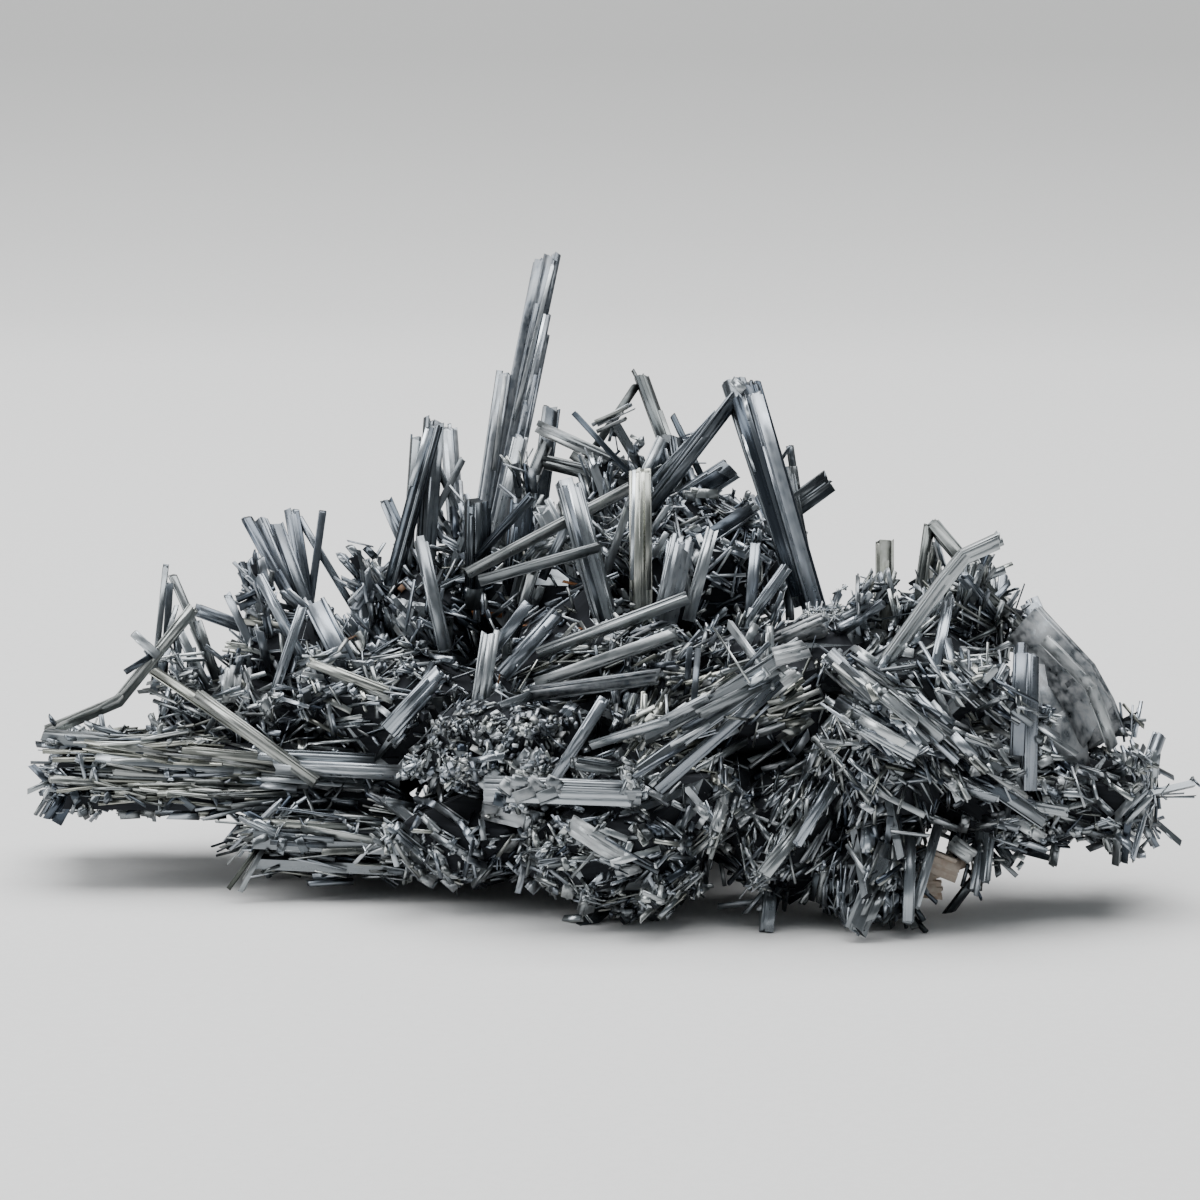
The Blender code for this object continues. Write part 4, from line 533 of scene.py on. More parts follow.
        (27, -14, 27.5, -17, 0.5), (17.6, -17.9, 18.6, -17.6, 0.5, PALE), (18, -19.8, 17, -22.2, 0.5, DARK),
        (24.6, -22.6, 24, -25.2, 0.5, DARK), (29, -22, 28.6, -25.6, 0.6, DARK),
        (16, -25, 12.8, -28.4, 0.5, DARK), (9.2, -26.4, 6.6, -28.2, 0.6, DARK),
    ],
    "lobe_top_crystals": [
        (24.2, -3.2, 28.5, -0.1, 0.9, BLUE), (28.7, -3, 29.8, -0.2, 0.6, PALE),
        (31, 3.2, 31.4, 5.6, 0.8, DARK), (30.9, 3.3, 31, 4, 0.5, PAINTED_HIGHLIGHT), (30.4, 0.4, 30.6, 3.8, 1.2),
        (31, 0.8, 31.6, 2.4, 0.9, PALE), (33.6, 2, 34, 4, 0.4, PALE), (33, 2.6, 33.2, 5.4, 0.6, OLIVE_GREY),
        (33.6, -6.8, 34.9, 0.2, 1, BLUE), (31.5, -4.2, 32, -3.1, 0.8, PAINTED_HIGHLIGHT),
        (35.2, -9.5, 32, -4.2, 0.5, PALE), (40, -2.5, 36.2, 2.6, 1.2, BLUE), (38, 0.8, 38.4, 1.5, 0.4, PAINTED_HIGHLIGHT),
        (40.2, -3.2, 35.4, -0.2, 0.4), (39.4, -3, 36, -1.2, 0.35, PALE), (38.8, -3.6, 35.6, -1.8, 0.35),
        (40.4, -2.6, 36.8, -0.4, 0.4, DARK), (35.6, -8, 34.6, -3.6, 0.8, BLUE),
        (37, -4.9, 38.6, -5, 0.4, PAINTED_HIGHLIGHT), (39.1, -5, 39.6, -4.1, 0.3, PALE), (37.8, -6.8, 39.2, -5.8, 0.5),
        (40.3, -8, 39.9, -5, 0.5, PALE), (37.3, -9.5, 39.8, -6.6, 0.6), (38.3, -10.8, 40.8, -9.5, 0.6),
        (32.6, -10.2, 30.5, -7.9, 0.6, PALE), (34.8, -11.4, 33.6, -8.8, 0.6, PALE),
        (39.6, -1.6, 40.2, -0.4, 1, PALE), (39.2, -0.6, 39.1, 2.7, 0.9), (41.2, -1, 40.8, -0.2, 0.5, PAINTED_HIGHLIGHT),
        (44.6, -3.6, 44.4, -3, 0.6, PAINTED_HIGHLIGHT), (42.2, -3.4, 42.8, -3, 0.5, PAINTED_HIGHLIGHT), (45.4, -4.6, 47.6, -2.9, 0.9),
        (46, -4.6, 47.3, -5.6, 0.6, DARK), (49.4, -8.4, 48.6, -6.4, 0.4),
        (50.4, -10.8, 51.2, -9.8, 0.8, PALE), (52.4, -13.8, 52, -10.2, 0.4, DARK),
        (53.4, -15.1, 54.2, -14.1, 0.3), (44, -14, 44.6, -13.7, 0.5, PAINTED_HIGHLIGHT), (47.8, -16.6, 44, -14.6, 0.6),
        (26.6, -5.8, 28.7, -4.7, 1, PAINTED_HIGHLIGHT), (28, -6.9, 28.9, -5.5, 0.7, PAINTED_HIGHLIGHT),
        (27.2, -6, 25.2, -4.6, 0.7, PALE), (30, -5.2, 31.6, -5.4, 0.9, DUSTY),
        (36.6, -7.4, 36, -4.8, 0.5, DARK), (33.2, -8.6, 31.6, -6, 0.5, DARK),
        (29.6, -1.8, 30.6, 0.6, 0.6, DARK), (28, 1.8, 29.4, 2.4, 0.5, PALE), (42, -3, 38.4, -1.6, 0.5),
    ],
    "lobe_fan_crystals": [
        (23.8, -6, 32, -12.5, 1.2, PALE), (24.6, -9, 27.2, -10.5, 0.6), (24.6, -11.6, 31.8, -15.6, 1.5, PALE),
        (26.4, -12, 30.9, -14.6, 0.9, PALE), (28.9, -13.7, 29.9, -14.5, 0.7, PAINTED_HIGHLIGHT),
        (29.3, -11.8, 30.3, -12.9, 0.6, PAINTED_HIGHLIGHT), (30.8, -12.8, 32, -14.5, 0.6, PAINTED_HIGHLIGHT),
        (28.4, -9, 34.4, -14, 1), (30.4, -9, 36, -13, 1, BLUE), (32.2, -12.6, 34.4, -14, 0.7, PALE),
        (33.4, -10.6, 35.7, -13.2, 0.9, PALE), (26, -9.6, 30, -13.2, 0.6, DARK),
        (30, -10.8, 34, -13.2, 0.6, PALE), (36.4, -12.4, 38.8, -16, 0.8), (35.6, -13.8, 37.7, -16, 0.9, PALE),
        (38.6, -12, 40, -15, 0.7, PALE), (40, -14.8, 42.8, -16, 0.9, PALE),
        (35.2, -17.2, 35.6, -15.8, 1.1, DUSTY), (37.6, -17.1, 37.9, -16.2, 1.1, DUSTY),
        (35.6, -18.8, 35, -18.1, 0.9, DUSTY), (38.2, -17.5, 43.5, -21.2, 0.9, PALE),
        (36.5, -19, 40, -20, 0.7), (40, -20, 47, -21.2, 1), (46.4, -18.7, 46.1, -17.5, 1.3, DUSTY),
        (49.2, -18, 49.7, -20, 0.5, PAINTED_HIGHLIGHT), (50.8, -18.3, 53.3, -19.9, 0.5, PAINTED_HIGHLIGHT),
        (50, -20.3, 51.4, -21.6, 0.7, PALE), (46.8, -20.7, 49.8, -20, 0.6), (43, -17.8, 46, -19.8, 0.8, DARK),
        (48, -16.8, 52, -18, 0.7), (52.4, -15.6, 53, -17.6, 0.5, PALE), (53.2, -15.8, 54, -17.6, 0.4, PALE),
        (51.6, -15.9, 52.6, -16.4, 0.5, PAINTED_HIGHLIGHT), (56, -20, 54.2, -26, 0.6), (55, -19.5, 53.2, -26, 0.6, BLUE),
        (56.1, -18.6, 56.5, -17, 0.5, DARK), (54.4, -24, 55.4, -24.9, 0.9, DARK),
        (53, -20, 52.4, -26.4, 0.7, DARK), (51.9, -22, 51.6, -26.5, 0.8), (47.6, -24.2, 49.4, -25.6, 0.5),
        (49.3, -24.5, 48.8, -25.8, 0.5, PALE), (45.6, -24.4, 45.2, -26.8, 0.9),
        (42, -24.1, 44.7, -25.1, 0.55, PAINTED_HIGHLIGHT), (41.6, -24.9, 45.8, -26, 0.6, DARK),
        (41.8, -22.2, 44.6, -24, 1.1, DUSTY), (35, -22.7, 36, -22.9, 0.5, PAINTED_HIGHLIGHT),
        (35.4, -24.4, 37.6, -26, 1.5, DUSTY), (36.3, -22.8, 36.7, -21.6, 0.9, DUSTY),
        (38, -18.6, 41.6, -19.4, 0.6), (41, -18, 44.4, -18.6, 0.6, DARK), (45, -21.4, 49, -22.6, 0.8),
        (47.6, -22.8, 50.6, -23.6, 0.8, DARK), (38.6, -22, 42, -23, 0.8), (50.6, -23.8, 51.4, -25.6, 0.7),
        (27, -8.4, 30, -10.4, 0.6), (34, -16.6, 37.2, -17.8, 0.7), (33.4, -15.4, 36.4, -16.4, 0.7, BLUE),
        (31, -16.4, 34.6, -18.4, 0.6, DARK),
    ],
}

# Rust-coloured and ochre grains between the crystals, in the same form
STAINS = [
    (-19.8, 1.2, -19.2, 1.8, 0.6), (-14.4, 7.4, -14.0, 8.0, 0.5), (-10.2, -1.5, -12.8, -1.3, 0.5),
    (-2.6, 1.6, -3.8, 1.9, 0.35), (-25.2, -4.0, -24.4, -3.6, 0.5), (-10.1, -8.0, -9.6, -5.8, 0.3),
    (-1.0, -29.9, -0.6, -29.6, 0.4), (-2.2, -2.9, -1.6, -2.9, 0.3), (-8.0, -2.6, -7.2, -2.6, 0.3),
    (49.6, -17.4, 50.0, -17.2, 0.4),
]
OCHRE_CRYSTALS = [
    one((31.4, -25.4, -17.5), (36.0, -27.2, -18.5), 2.2, 1.4, root=0),
    one((31.8, -27.6, -17.0), (36.6, -25.8, -17.5), 1.6, 1.2, root=0),
    one((30.6, -28.6, -16.0), (34.4, -29.0, -17.0), 1.8, 1.2, root=0),
]

# Bright and dark slivers on the standing crystals, some of them painted highlights, painted reflection and
# painted
# shade along their faces and edges: foot and tip, with how far away they are, width, thickness and finish
SLIVERS = [
    # The tower's bright strip: a painted highlight
    ((-18.9, 11.4, 6.9), (-17.2, 17.2, 8.0), 0.5, 0.3, PAINTED_HIGHLIGHT),
    # On the spire: a pale edge and a glint, painted highlights, and a dusty strip
    ((-8.6, 18.0, 16.4), (-4.7, 33.6, 18.8), 0.4, 0.3, PALE),
    ((-7.4, 20.0, 16.4), (-5.5, 28.6, 17.9), 0.3, 0.3, PAINTED_HIGHLIGHT),
    ((-10.6, 13.0, 15.8), (-9.5, 22.6, 17.8), 0.4, 0.3, DUSTY),
    # On the peak: two glints and a pale top, painted highlights
    ((15.5, 12.8, -2.0), (14.2, 16.6, -1.5), 0.25, 0.2, PAINTED_HIGHLIGHT),
    ((14.9, 18.0, -1.4), (14.4, 20.6, -1.2), 0.3, 0.2, PAINTED_HIGHLIGHT),
    ((14.4, 20.9, -1.4), (13.1, 22.1, -0.9), 0.9, 0.4, PALE),
    # The peak's lighter right facet and darker left facet: painted reflection and painted shade
    ((21.9, -2.0, -3.4), (15.4, 20.9, -1.4), 1.5, 0.5, Tint(0.42, 0.0, 0.3)),
    ((19.8, 0.4, -2.8), (13.7, 20.8, -1.0), 1.4, 0.4, Tint(0.03, 0.1, 0.0)),
    ((18.1, 14.0, 5.0), (19.1, 15.5, 5.0), 0.35, 0.3, DARK),
    ((19.3, 13.4, 5.0), (19.0, 15.5, 5.0), 0.35, 0.3, DARK),
    # On the bright pillar: a darker olive strip, and a glint, a painted highlight
    ((4.9, 1.0, -6.2), (4.7, 12.8, -5.3), 0.5, 0.3, Tint(0.35, 0.9, 0.1)),
    ((3.2, 2.0, -6.2), (3.4, 13.0, -5.3), 0.35, 0.3, PAINTED_HIGHLIGHT),
    # On the middle pillar: a glint along its edge, a painted highlight, and a dark stripe down it, painted
    # shade
    ((-1.2, 2.0, -7.2), (-3.2, 11.6, -6.0), 0.3, 0.2, PAINTED_HIGHLIGHT),
    ((0.5, -3.0, -8.0), (-3.6, 11.6, -6.0), 0.5, 0.3, DARK),
    ((35.1, 3.6, -13.4), (41.2, -1.9, -13.8), 1.3, 0.9, Tint(0.08, 0.7, 0.1)),
    ((-43.6, -7.8, 0.5), (-43.0, 1.8, 0.9), 0.7, 0.5, Tint(0.1, 0.3, 0.1)),
    ((-43.4, -4.2, 0.2), (-42.3, -0.4, 0.4), 0.5, 0.3, PALE),
    ((-38.3, -7.9, 1.2), (-40.3, -2.0, 1.2), 0.9, 0.6, Tint(0.12, 0.5, 0.1)),
    ((-39.2, -9.0, 0.4), (-42.1, -3.0, 0.6), 1.0, 0.6, PLAIN),
    ((-42.5, -7.9, 0.8), (-42.0, -2.6, 0.8), 0.8, 0.5, DARK),
    ((-44.6, -9.0, 0.0), (-43.2, -4.8, 0.2), 0.8, 0.5, BLUE),
    ((-41.0, -8.8, 1.4), (-40.8, -4.6, 1.4), 0.9, 0.6, Tint(0.15, 0.2, 0.1)),
    ((-44.2, -5.6, -2.2), (-46.8, -3.2, -2.4), 0.9, 0.3, PALE),
    ((-44.6, -5.4, -2.0), (-47.6, -7.3, -2.2), 0.6, 0.3, DARK),
    ((-9.9, -18.2, -28.7), (-8.4, -19.4, -28.7), 1.5, 0.7, Tint(0.35, 0.3, 0.7)),
    ((-8.9, -18.1, -28.9), (-7.0, -18.6, -28.9), 1.3, 0.7, PLAIN),
    ((-8.6, -19.8, -28.9), (-6.4, -19.0, -28.9), 1.2, 0.7, Tint(0.25, 0.3, 0.5)),
    ((-7.2, -18.0, -28.9), (-5.6, -19.2, -28.9), 1.3, 0.7, Tint(0.2, 0.3, 0.6)),
    ((-6.2, -19.9, -28.9), (-4.2, -19.1, -28.9), 1.3, 0.7, PLAIN),
    ((-5.4, -18.0, -29.0), (-3.6, -18.9, -29.0), 1.2, 0.7, Tint(0.25, 0.3, 0.5)),
    ((-10.6, -19.8, -28.6), (-9.0, -20.2, -28.6), 1.2, 0.7, DARK),
]
# Along the grey shell's upper edge, a pale dusty strip: a painted highlight, partly dust
SHELL_SLIVER = bent([(44.4, -4.0, -17.2), (49.2, -8.8, -19.0), (51.4, -15.0, -18.0)], 1.3, 0.5, 20, root=0)

# Crystals between the mass and the ones that stand out of it
PROPS = [
    one((-9.5, -5.0, 12.0), (-6.4, 7.0, 26.2), 1.7, 1.3),
    one((-6.0, -3.0, 14.0), (-6.9, 4.2, 25.4), 1.4, 1.1),
    one((-16.8, -2.0, 12.0), (-13.7, 6.5, 21.2), 1.5, 1.1),
    one((-12.6, 0.0, 13.0), (-14.0, 4.0, 20.6), 1.3, 1.0),
    one((-8.2, -2.4, -4.0), (-6.4, 3.6, -8.4), 1.0, 0.8),
    one((-5.2, 3.4, 0.8), (-3.0, 8.3, -2.2), 0.9, 0.7),
    one((-9.2, -7.0, -9.0), (-9.4, -3.8, -12.3), 1.0, 0.8),
    one((1.0, 3.8, 0.8), (3.1, 10.2, -0.2), 0.8, 0.6),
    one((-3.0, -15.6, -20.5), (-3.4, -16.2, -23.8), 1.2, 0.9),
    one((-12.6, 0.6, 2.6), (-12.0, 4.4, 1.0), 1.6, 1.3),
]

# Countless smaller crystals, by piece: where they are, which way they point, how far they stray from it, the
# share that lie across the mass, how many, and their length and width in millimetres
GROWTHS = {
    "ledge_blades": [
        Growth((-42, -13.8, 1), (9, 1, 6), (1, 0.05, 0), 0.25, 0.95, 40, (5, 12), (0.4, 1.1), OLIVE_GREY),
        Growth((-41, -17, -7), (10, 3, 1), (1, -0.05, 0), 0.14, 0.97, 90, (5, 13), (0.3, 0.8), OLIVE_GREY),
        Growth((-54, -17, -1), (1, 3, 6), (-1, 0, 0), 0.4, 0.5, 24, (1, 3), (0.4, 0.9), BLUE),
        Growth((-43, -20, -3), (13, 0.6, 5), (-1, -0.1, 0), 0.4, 0.95, 26, (2, 6), (0.5, 1.4), PLAIN),
        Growth((-26, -23.5, -9), (9, 3, 1), (-1, 0.08, 0), 0.2, 0.95, 80, (4, 11), (0.3, 0.8), PLAIN),
        Growth((-24, -27, -6), (10, 0.8, 5), (-1, -0.1, -0.3), 0.5, 0.9, 30, (2, 6), (0.4, 1.2), PLAIN),
    ],
    "slope_bits": [
        Growth((-46, -12, 2), (9, 1.5, 5), (0, 1, 0), 1, 0.7, 60, (1, 5), (0.3, 0.8), DIM),
        Growth((-34, -10, -3), (10, 5, 4), (0.7, -0.4, -0.3), 0.9, 0.9, 170, (3, 8), (0.25, 0.75), PLAIN),
        Growth((-34, -9, -2), (10, 5, 4), (0, 0.3, 0), 1.2, 0.8, 40, (1.5, 5), (0.12, 0.4), PALE),
        Growth((-28, -3, 6), (7, 4, 6), (-0.25, 1, 0), 0.7, 0.7, 90, (3, 8), (0.3, 0.9), BLUE),
        Growth((-18, -7, -6), (6, 6, 3), (0.5, 0.6, -0.5), 0.9, 0.9, 90, (2, 6), (0.3, 1), PLAIN),
    ],
    "back_jumble": [
        Growth((-18, -1, 7), (6, 5, 6), (0, 1, 0), 0.8, 0.8, 70, (3, 8), (0.3, 0.9), BLUE),
        Growth((-2, 6, 8), (11, 5, 7), (0, 1, -0.2), 1, 0.8, 110, (3, 9), (0.25, 1.1), PLAIN),
        Growth((1, 6, 2), (3, 4, 3), (0.3, 0.3, 0), 1.5, 0.8, 90, (2, 6), (0.1, 0.22), PLAIN),
        Growth((11, 7, 4), (8, 5, 7), (0.1, 1, -0.2), 1, 0.8, 110, (3, 9), (0.3, 1.2), BLUE),
    ],
    "middle_fan": [
        Growth((10, -1, -7), (6, 3, 3), (0.2, 1, -0.3), 0.8, 0.8, 90, (2, 6), (0.3, 1), PLAIN),
        Growth((23.5, -0.5, -9), (3, 2.5, 4), (0, 0.2, -0.2), 1.2, 0.4, 170, (0.8, 3), (0.12, 0.35), PALE),
        Growth((1, -6, -12), (9, 4, 3), (0.9, 0.35, -0.2), 0.6, 0.9, 110, (3, 8), (0.3, 0.9), DIM_OLIVE),
        Growth((8, -6, -16), (9, 4, 2), (0.4, 0.9, -0.2), 0.6, 0.85, 80, (2, 6), (0.3, 0.7), DARK),
    ],
    "granular_middle": [
        Growth((-10, -14, -21), (8, 5, 4), (0, 0, 0), 1, 0.7, 420, (0.5, 2.2), (0.3, 1), GRANULAR),
        Growth((-7, -19, -29), (4.5, 1.5, 1), (0, 0, 0), 1, 0.5, 110, (0.6, 2), (0.4, 1), GRANULAR_SLAB),
        Growth((-17, -17, -18), (4, 3, 4), (-0.3, 0, 0), 1, 0.7, 90, (0.6, 2.4), (0.3, 0.9), PLAIN),
        Growth((-3, -20, -24), (9, 4, 3), (0.8, -0.2, -0.2), 0.9, 0.9, 110, (1, 5), (0.3, 1.2), PLAIN),
    ],
    "front_sheaf": [
        Growth((12, -11, -20), (9, 4, 3), (-0.85, -0.5, -0.1), 0.35, 0.9, 100, (3, 9), (0.4, 1), OLIVE_GREY),
    ],
    "underside": [
        Growth((2, -28, -22), (13, 4, 4), (-0.8, -0.3, -0.2), 0.8, 0.9, 230, (1.5, 6), (0.25, 0.9), PLAIN),
        Growth((-12, -26, -14), (10, 3, 5), (-0.6, -0.4, -0.3), 0.9, 0.85, 170, (1, 5), (0.25, 0.9), PLAIN),
        Growth((21, -22, -22), (9, 8, 4), (-0.35, -0.9, -0.1), 0.6, 0.85, 230, (2, 7), (0.25, 0.8), PLAIN),
        Growth((26, -30, -21), (4, 3, 4), (-0.2, -1, 0), 0.5, 0.8, 40, (2, 5), (0.4, 1), BLUE),
        Growth((31, -27, -19), (4, 4, 4), (-0.2, -1, 0), 0.6, 0.3, 60, (3, 8), (0.5, 1.2), DARK),
    ],
    "lobe_blades": [
        Growth((33, -12, -25), (10, 7, 3), (0.75, -0.65, 0), 0.5, 0.92, 260, (2.5, 8), (0.3, 1), PLAIN),
        Growth((33, -1, -11), (8, 4, 6), (0.1, 1, 0), 0.9, 0.75, 170, (3, 8), (0.3, 1), PLAIN),
        Growth((46, -17, -21), (8, 6, 3), (0.5, -0.3, -0.3), 0.9, 0.9, 170, (1.5, 5), (0.3, 0.9), PLAIN),
        Growth((55, -19, -13), (2, 5, 7), (0.1, -1, 0), 0.6, 0.92, 50, (2, 5), (0.4, 0.9), PLAIN),
        Growth((42, -25, -17), (11, 1, 7), (0.5, -0.4, 0), 0.8, 0.92, 80, (1, 4), (0.4, 1), PLAIN),
    ],
}

# Crystals that grow everywhere: how many, how far to the front the faces under them can look and lie, how
# much they stray from their neighbours' direction, and their length and width in millimetres
FILLS = {
    "all_over": Fill(2600, -1.0, -40.0, 40.0, (1.5, 7.0), (0.25, 0.9)),
    "all_behind": Fill(2500, 0.0, 1.0, 0.5, (2.5, 8.0), (0.35, 1.2)),
}

# How much tints vary: all of them, and those of standing, grown-in, and small crystals
TINT_SPREAD = 0.6
STANDING_VARY, GROWN_IN_VARY, SMALL_VARY = 0.1, 0.2, 0.3

# Shapes of all crystals, as shares of a section's half or of the swept crystal
BEVEL = (0.25, 0.6)
ROD_FLAT = (0.35, 0.75)
SWELL = 0.015
GRAIN_START = 60  # the striations of each crystal start somewhere else on their pattern, within this

# Large crystals: a prism with laths along two of its faces, in shares of its width, thickness or length
RING_EVERY = 8.0  # mm
DEEPEST_ROOT = 1.5  # mm
CORE_WIDTH, CORE_THICKNESS, CORE_SHORTER, CORE_SLOPE = 0.94, 0.9, 0.3, 0.5
LATH_WIDTH, MOST_LATHS, NARROWEST_LATH = 0.55, 5, 0.12  # the first in mm
SHELL_WIDTH = 4.0  # mm, from here a crystal is a plain shell with one lath to a face
LATH_CUT = 0.4  # how far from the middle two laths can part
ROUNDNESS, FLATTEST = 0.6, 0.2
LATH_DEPTH = (0.2, 0.4)
LATH_OUT = (0.9, 1.0)
UNEVEN_END, LATH_SLOPE = 0.25, 0.8
SHORT_LATHS, SHORT_LENGTH = 0.18, (0.5, 0.93)  # how many laths stop short, and where
LATH_SHADE = 0.12

# Small crystals: one section or another by width, and up to four side by side
NEEDLE_WIDTH = 0.3  # mm
NEEDLE_THICKNESS, ROD_THICKNESS, LATH_THICKNESS = 0.8, (0.4, 0.9), (0.25, 0.6)
ROD_SHARE = 0.4
SMALL_SLOPE = 1.2
SPRIG_COUNTS = (1, 1, 1, 2, 3, 4)
SPRIG_ASIDE, SPRIG_STRAY, SPRIG_UNEVEN, SPRIG_WIDTH = 0.45, 0.04, 0.3, (0.5, 1.0)

# How the small crystals sit on the mass
FLATTENED = (0.75, 1.0)  # how much of its lean off the mass a lying one loses
OUT_OF_MASS = (-0.1, 0.7)  # mm, how far off the mass its middle is
LEAST_RISE, BENT_UP = 0.25, 0.5  # a standing one rises by this much, or is bent up
ROOT_DEPTH = 0.8  # mm, how far it goes on into the mass
SHOWN_LENGTH = 0.7
FILL_LIES, OVERHANG = 0.85, -0.3  # how many of a fill lie, and where all do
LOWEST = 0.05 * MM  # nothing comes nearer to the floor than this
BEYOND = 0.8 * MM  # how far a small crystal can be outside the solids' box

# How the crystals of SMALL lie in front of what is behind them
SAMPLES = (0.0, 0.25, 0.5, 0.75, 1.0)  # where between foot and tip the depth is looked up
STEEPEST_NEARER, STEEPEST_AWAY = -0.7, 0.6  # for their length
LIFT = 0.5  # mm, how far in front they are
NEAREST = -30.0  # mm, and how near they come to the eye
SMALL_ROOT, SMALL_THICKNESS, SMALL_ROLL, SMALL_SHADE = 0.4, 0.6, 40, 0.12

# The mass's own faces
WIDEST_FACE = 1.3 * MM  # the widest that shows as a crystal's
SLENDER = 3  # how many times as long as wide that one is
FACE_STARTS = 50
CORE_TINT = Tint(0.22, 0.3, 0.12)

# Colours, from dark to light, and the striations' scale across and along a crystal, per millimetre
COOL_STEEL = ((0.05, 0.062, 0.08, 1), (0.64, 0.70, 0.77, 1))
WARM_STEEL = ((0.05, 0.055, 0.048, 1), (0.70, 0.71, 0.63, 1))
DUST_COLOUR = (0.42, 0.43, 0.44, 1)
# Near-black core: painted shade for the hollows between the crystals
CORE_SHADE_COLOURS = ((0.010, 0.011, 0.013, 1), (0.034, 0.037, 0.043, 1))
STAIN_COLOURS = ((0.26, 0.10, 0.03, 1), (0.56, 0.50, 0.43, 1))
SHEET_COLOURS = ((0.74, 0.74, 0.735, 1), (0.80, 0.80, 0.795, 1))
# Grey that the sheet turns far back: painted shade
SHADED_SHEET_GREY = (0.40, 0.40, 0.395, 1)
FINE_LINES, BROAD_LINES, CORE_LINES = (11.0, 0.06, 1.0), (2.2, 0.05, 1.0), (3.0, 0.3, 1.0)
BLOTCHES = (1.4, 1.0, 1.0)
WEAVE = 900.0  # of the sheet, per metre

# Ranges of a pattern and, where two more follow, what they are turned into
LINE_SHADES = (0.38, 0.62, 0.88, 1.08)
POLISH = (0.3, 0.7, 0.24, 0.34)
DUST_EDGE = (0.35, 0.7)
MOTTLE = (0.3, 0.7, -0.15, 0.15)
SHEET_SHADE_SPAN = (0.40, 0.60)  # m, how far back the sheet's painted shade starts and is full
DUST_ROUGHNESS, DUST_HIDES = 0.4, 0.9
RELIEF, RELIEF_DEPTH = 0.12, 0.02 * MM
DULL = 0.9

# Light: a dim cool room, a broad lamp overhead and a window at the left, in metres and watts
Lamp = namedtuple("Lamp", "name place aim size power")
ROOM_COLOUR, ROOM_STRENGTH = (0.88, 0.95, 1.0, 1), 0.26
LAMPS = [
    Lamp("overhead", (0.0, 0.1, 0.9), (0, 0.05, 0), (1.1, 0.9), 18.0),
    Lamp("left_window", (-0.9, -0.2, 0.6), (0, 0, 0.02), (0.5, 0.7), 7.0),
]

rng = random.Random(7)


def seen(across, up, away):
    """The world place, in metres, of a point given on the sight board."""
    spread = (EYE_DISTANCE + away) / EYE_DISTANCE
    right = Vector((1, 0, 0))
    upward = Vector((0, math.sin(SIGHT_TILT), math.cos(SIGHT_TILT)))
    inward = Vector((0, math.cos(SIGHT_TILT), -math.sin(SIGHT_TILT)))
    board_centre = Vector((0, 0, BOARD_HEIGHT))
    return (board_centre + right * across * spread + upward * up * spread + inward * away) * MM


def heading(right, up, away):
    """A world direction from one given on the sight board."""
    return Vector((
        right,
        up * math.sin(SIGHT_TILT) + away * math.cos(SIGHT_TILT),
        up * math.cos(SIGHT_TILT) - away * math.sin(SIGHT_TILT),
    ))


def between(low, high):
    """A size from a range, in metres, small ones more often than large."""
    return low * (high / low) ** rng.random() * MM


def clamp(value, low=0, high=1):
    return min(max(value, low), high)


def vary(tint, amount):
    """The tint, a little different for each crystal."""
    return Tint(*(clamp(part + rng.gauss(0, amount) * TINT_SPREAD) for part in tint))


def stray(amount):
    """A vector in any direction, from a bell curve."""
    return Vector(rng.gauss(0, amount) for _ in range(3))


def put(name, data):
    """A new object, in the scene."""
    obj = bpy.data.objects.new(name, data)
    bpy.context.scene.collection.objects.link(obj)
    return obj


class Path:
    """A crystal's axis, with the directions across it and through its thickness at any distance."""

    def __init__(self, points, roll):
        self.points = points
        steps = [b - a for a, b in zip(points, points[1:])]
        self.distances = [0.0]
        for step in steps:
            self.distances.append(self.distances[-1] + step.length)
        self.length = self.distances[-1]
        self.sides = []
        for index in range(len(points)):
            before = steps[max(index - 1, 0)].normalized()
            after = steps[min(index, len(steps) - 1)].normalized()
            self.sides.append(self.directions((before + after).normalized(), roll))

    @staticmethod
    def directions(along, roll):
        """The directions along, across and through a crystal, away from its axis turned by the roll."""
        nearly_parallel = 0.2
        across = along.cross(Vector((0, 1, 0)))
        if across.length < nearly_parallel:
            across = along.cross(Vector((0, 0, 1)))
        across.normalize()
        turn = Matrix.Rotation(math.radians(roll), 3, along)
        return along, turn @ across, turn @ along.cross(across)

    def at(self, distance):
        """The axis's place at a distance from the foot, and the three directions there."""
        index = 0
        while index < len(self.points) - 2 and distance > self.distances[index + 1]:
            index += 1
        run = self.distances[index + 1] - self.distances[index]
        share = (distance - self.distances[index]) / run
        centre = self.points[index].lerp(self.points[index + 1], share)
        blend = clamp(share, 0.0, 1.0)
        along, across, deep = (a.lerp(b, blend) for a, b in zip(self.sides[index], self.sides[index + 1]))
        return centre, along, across, deep


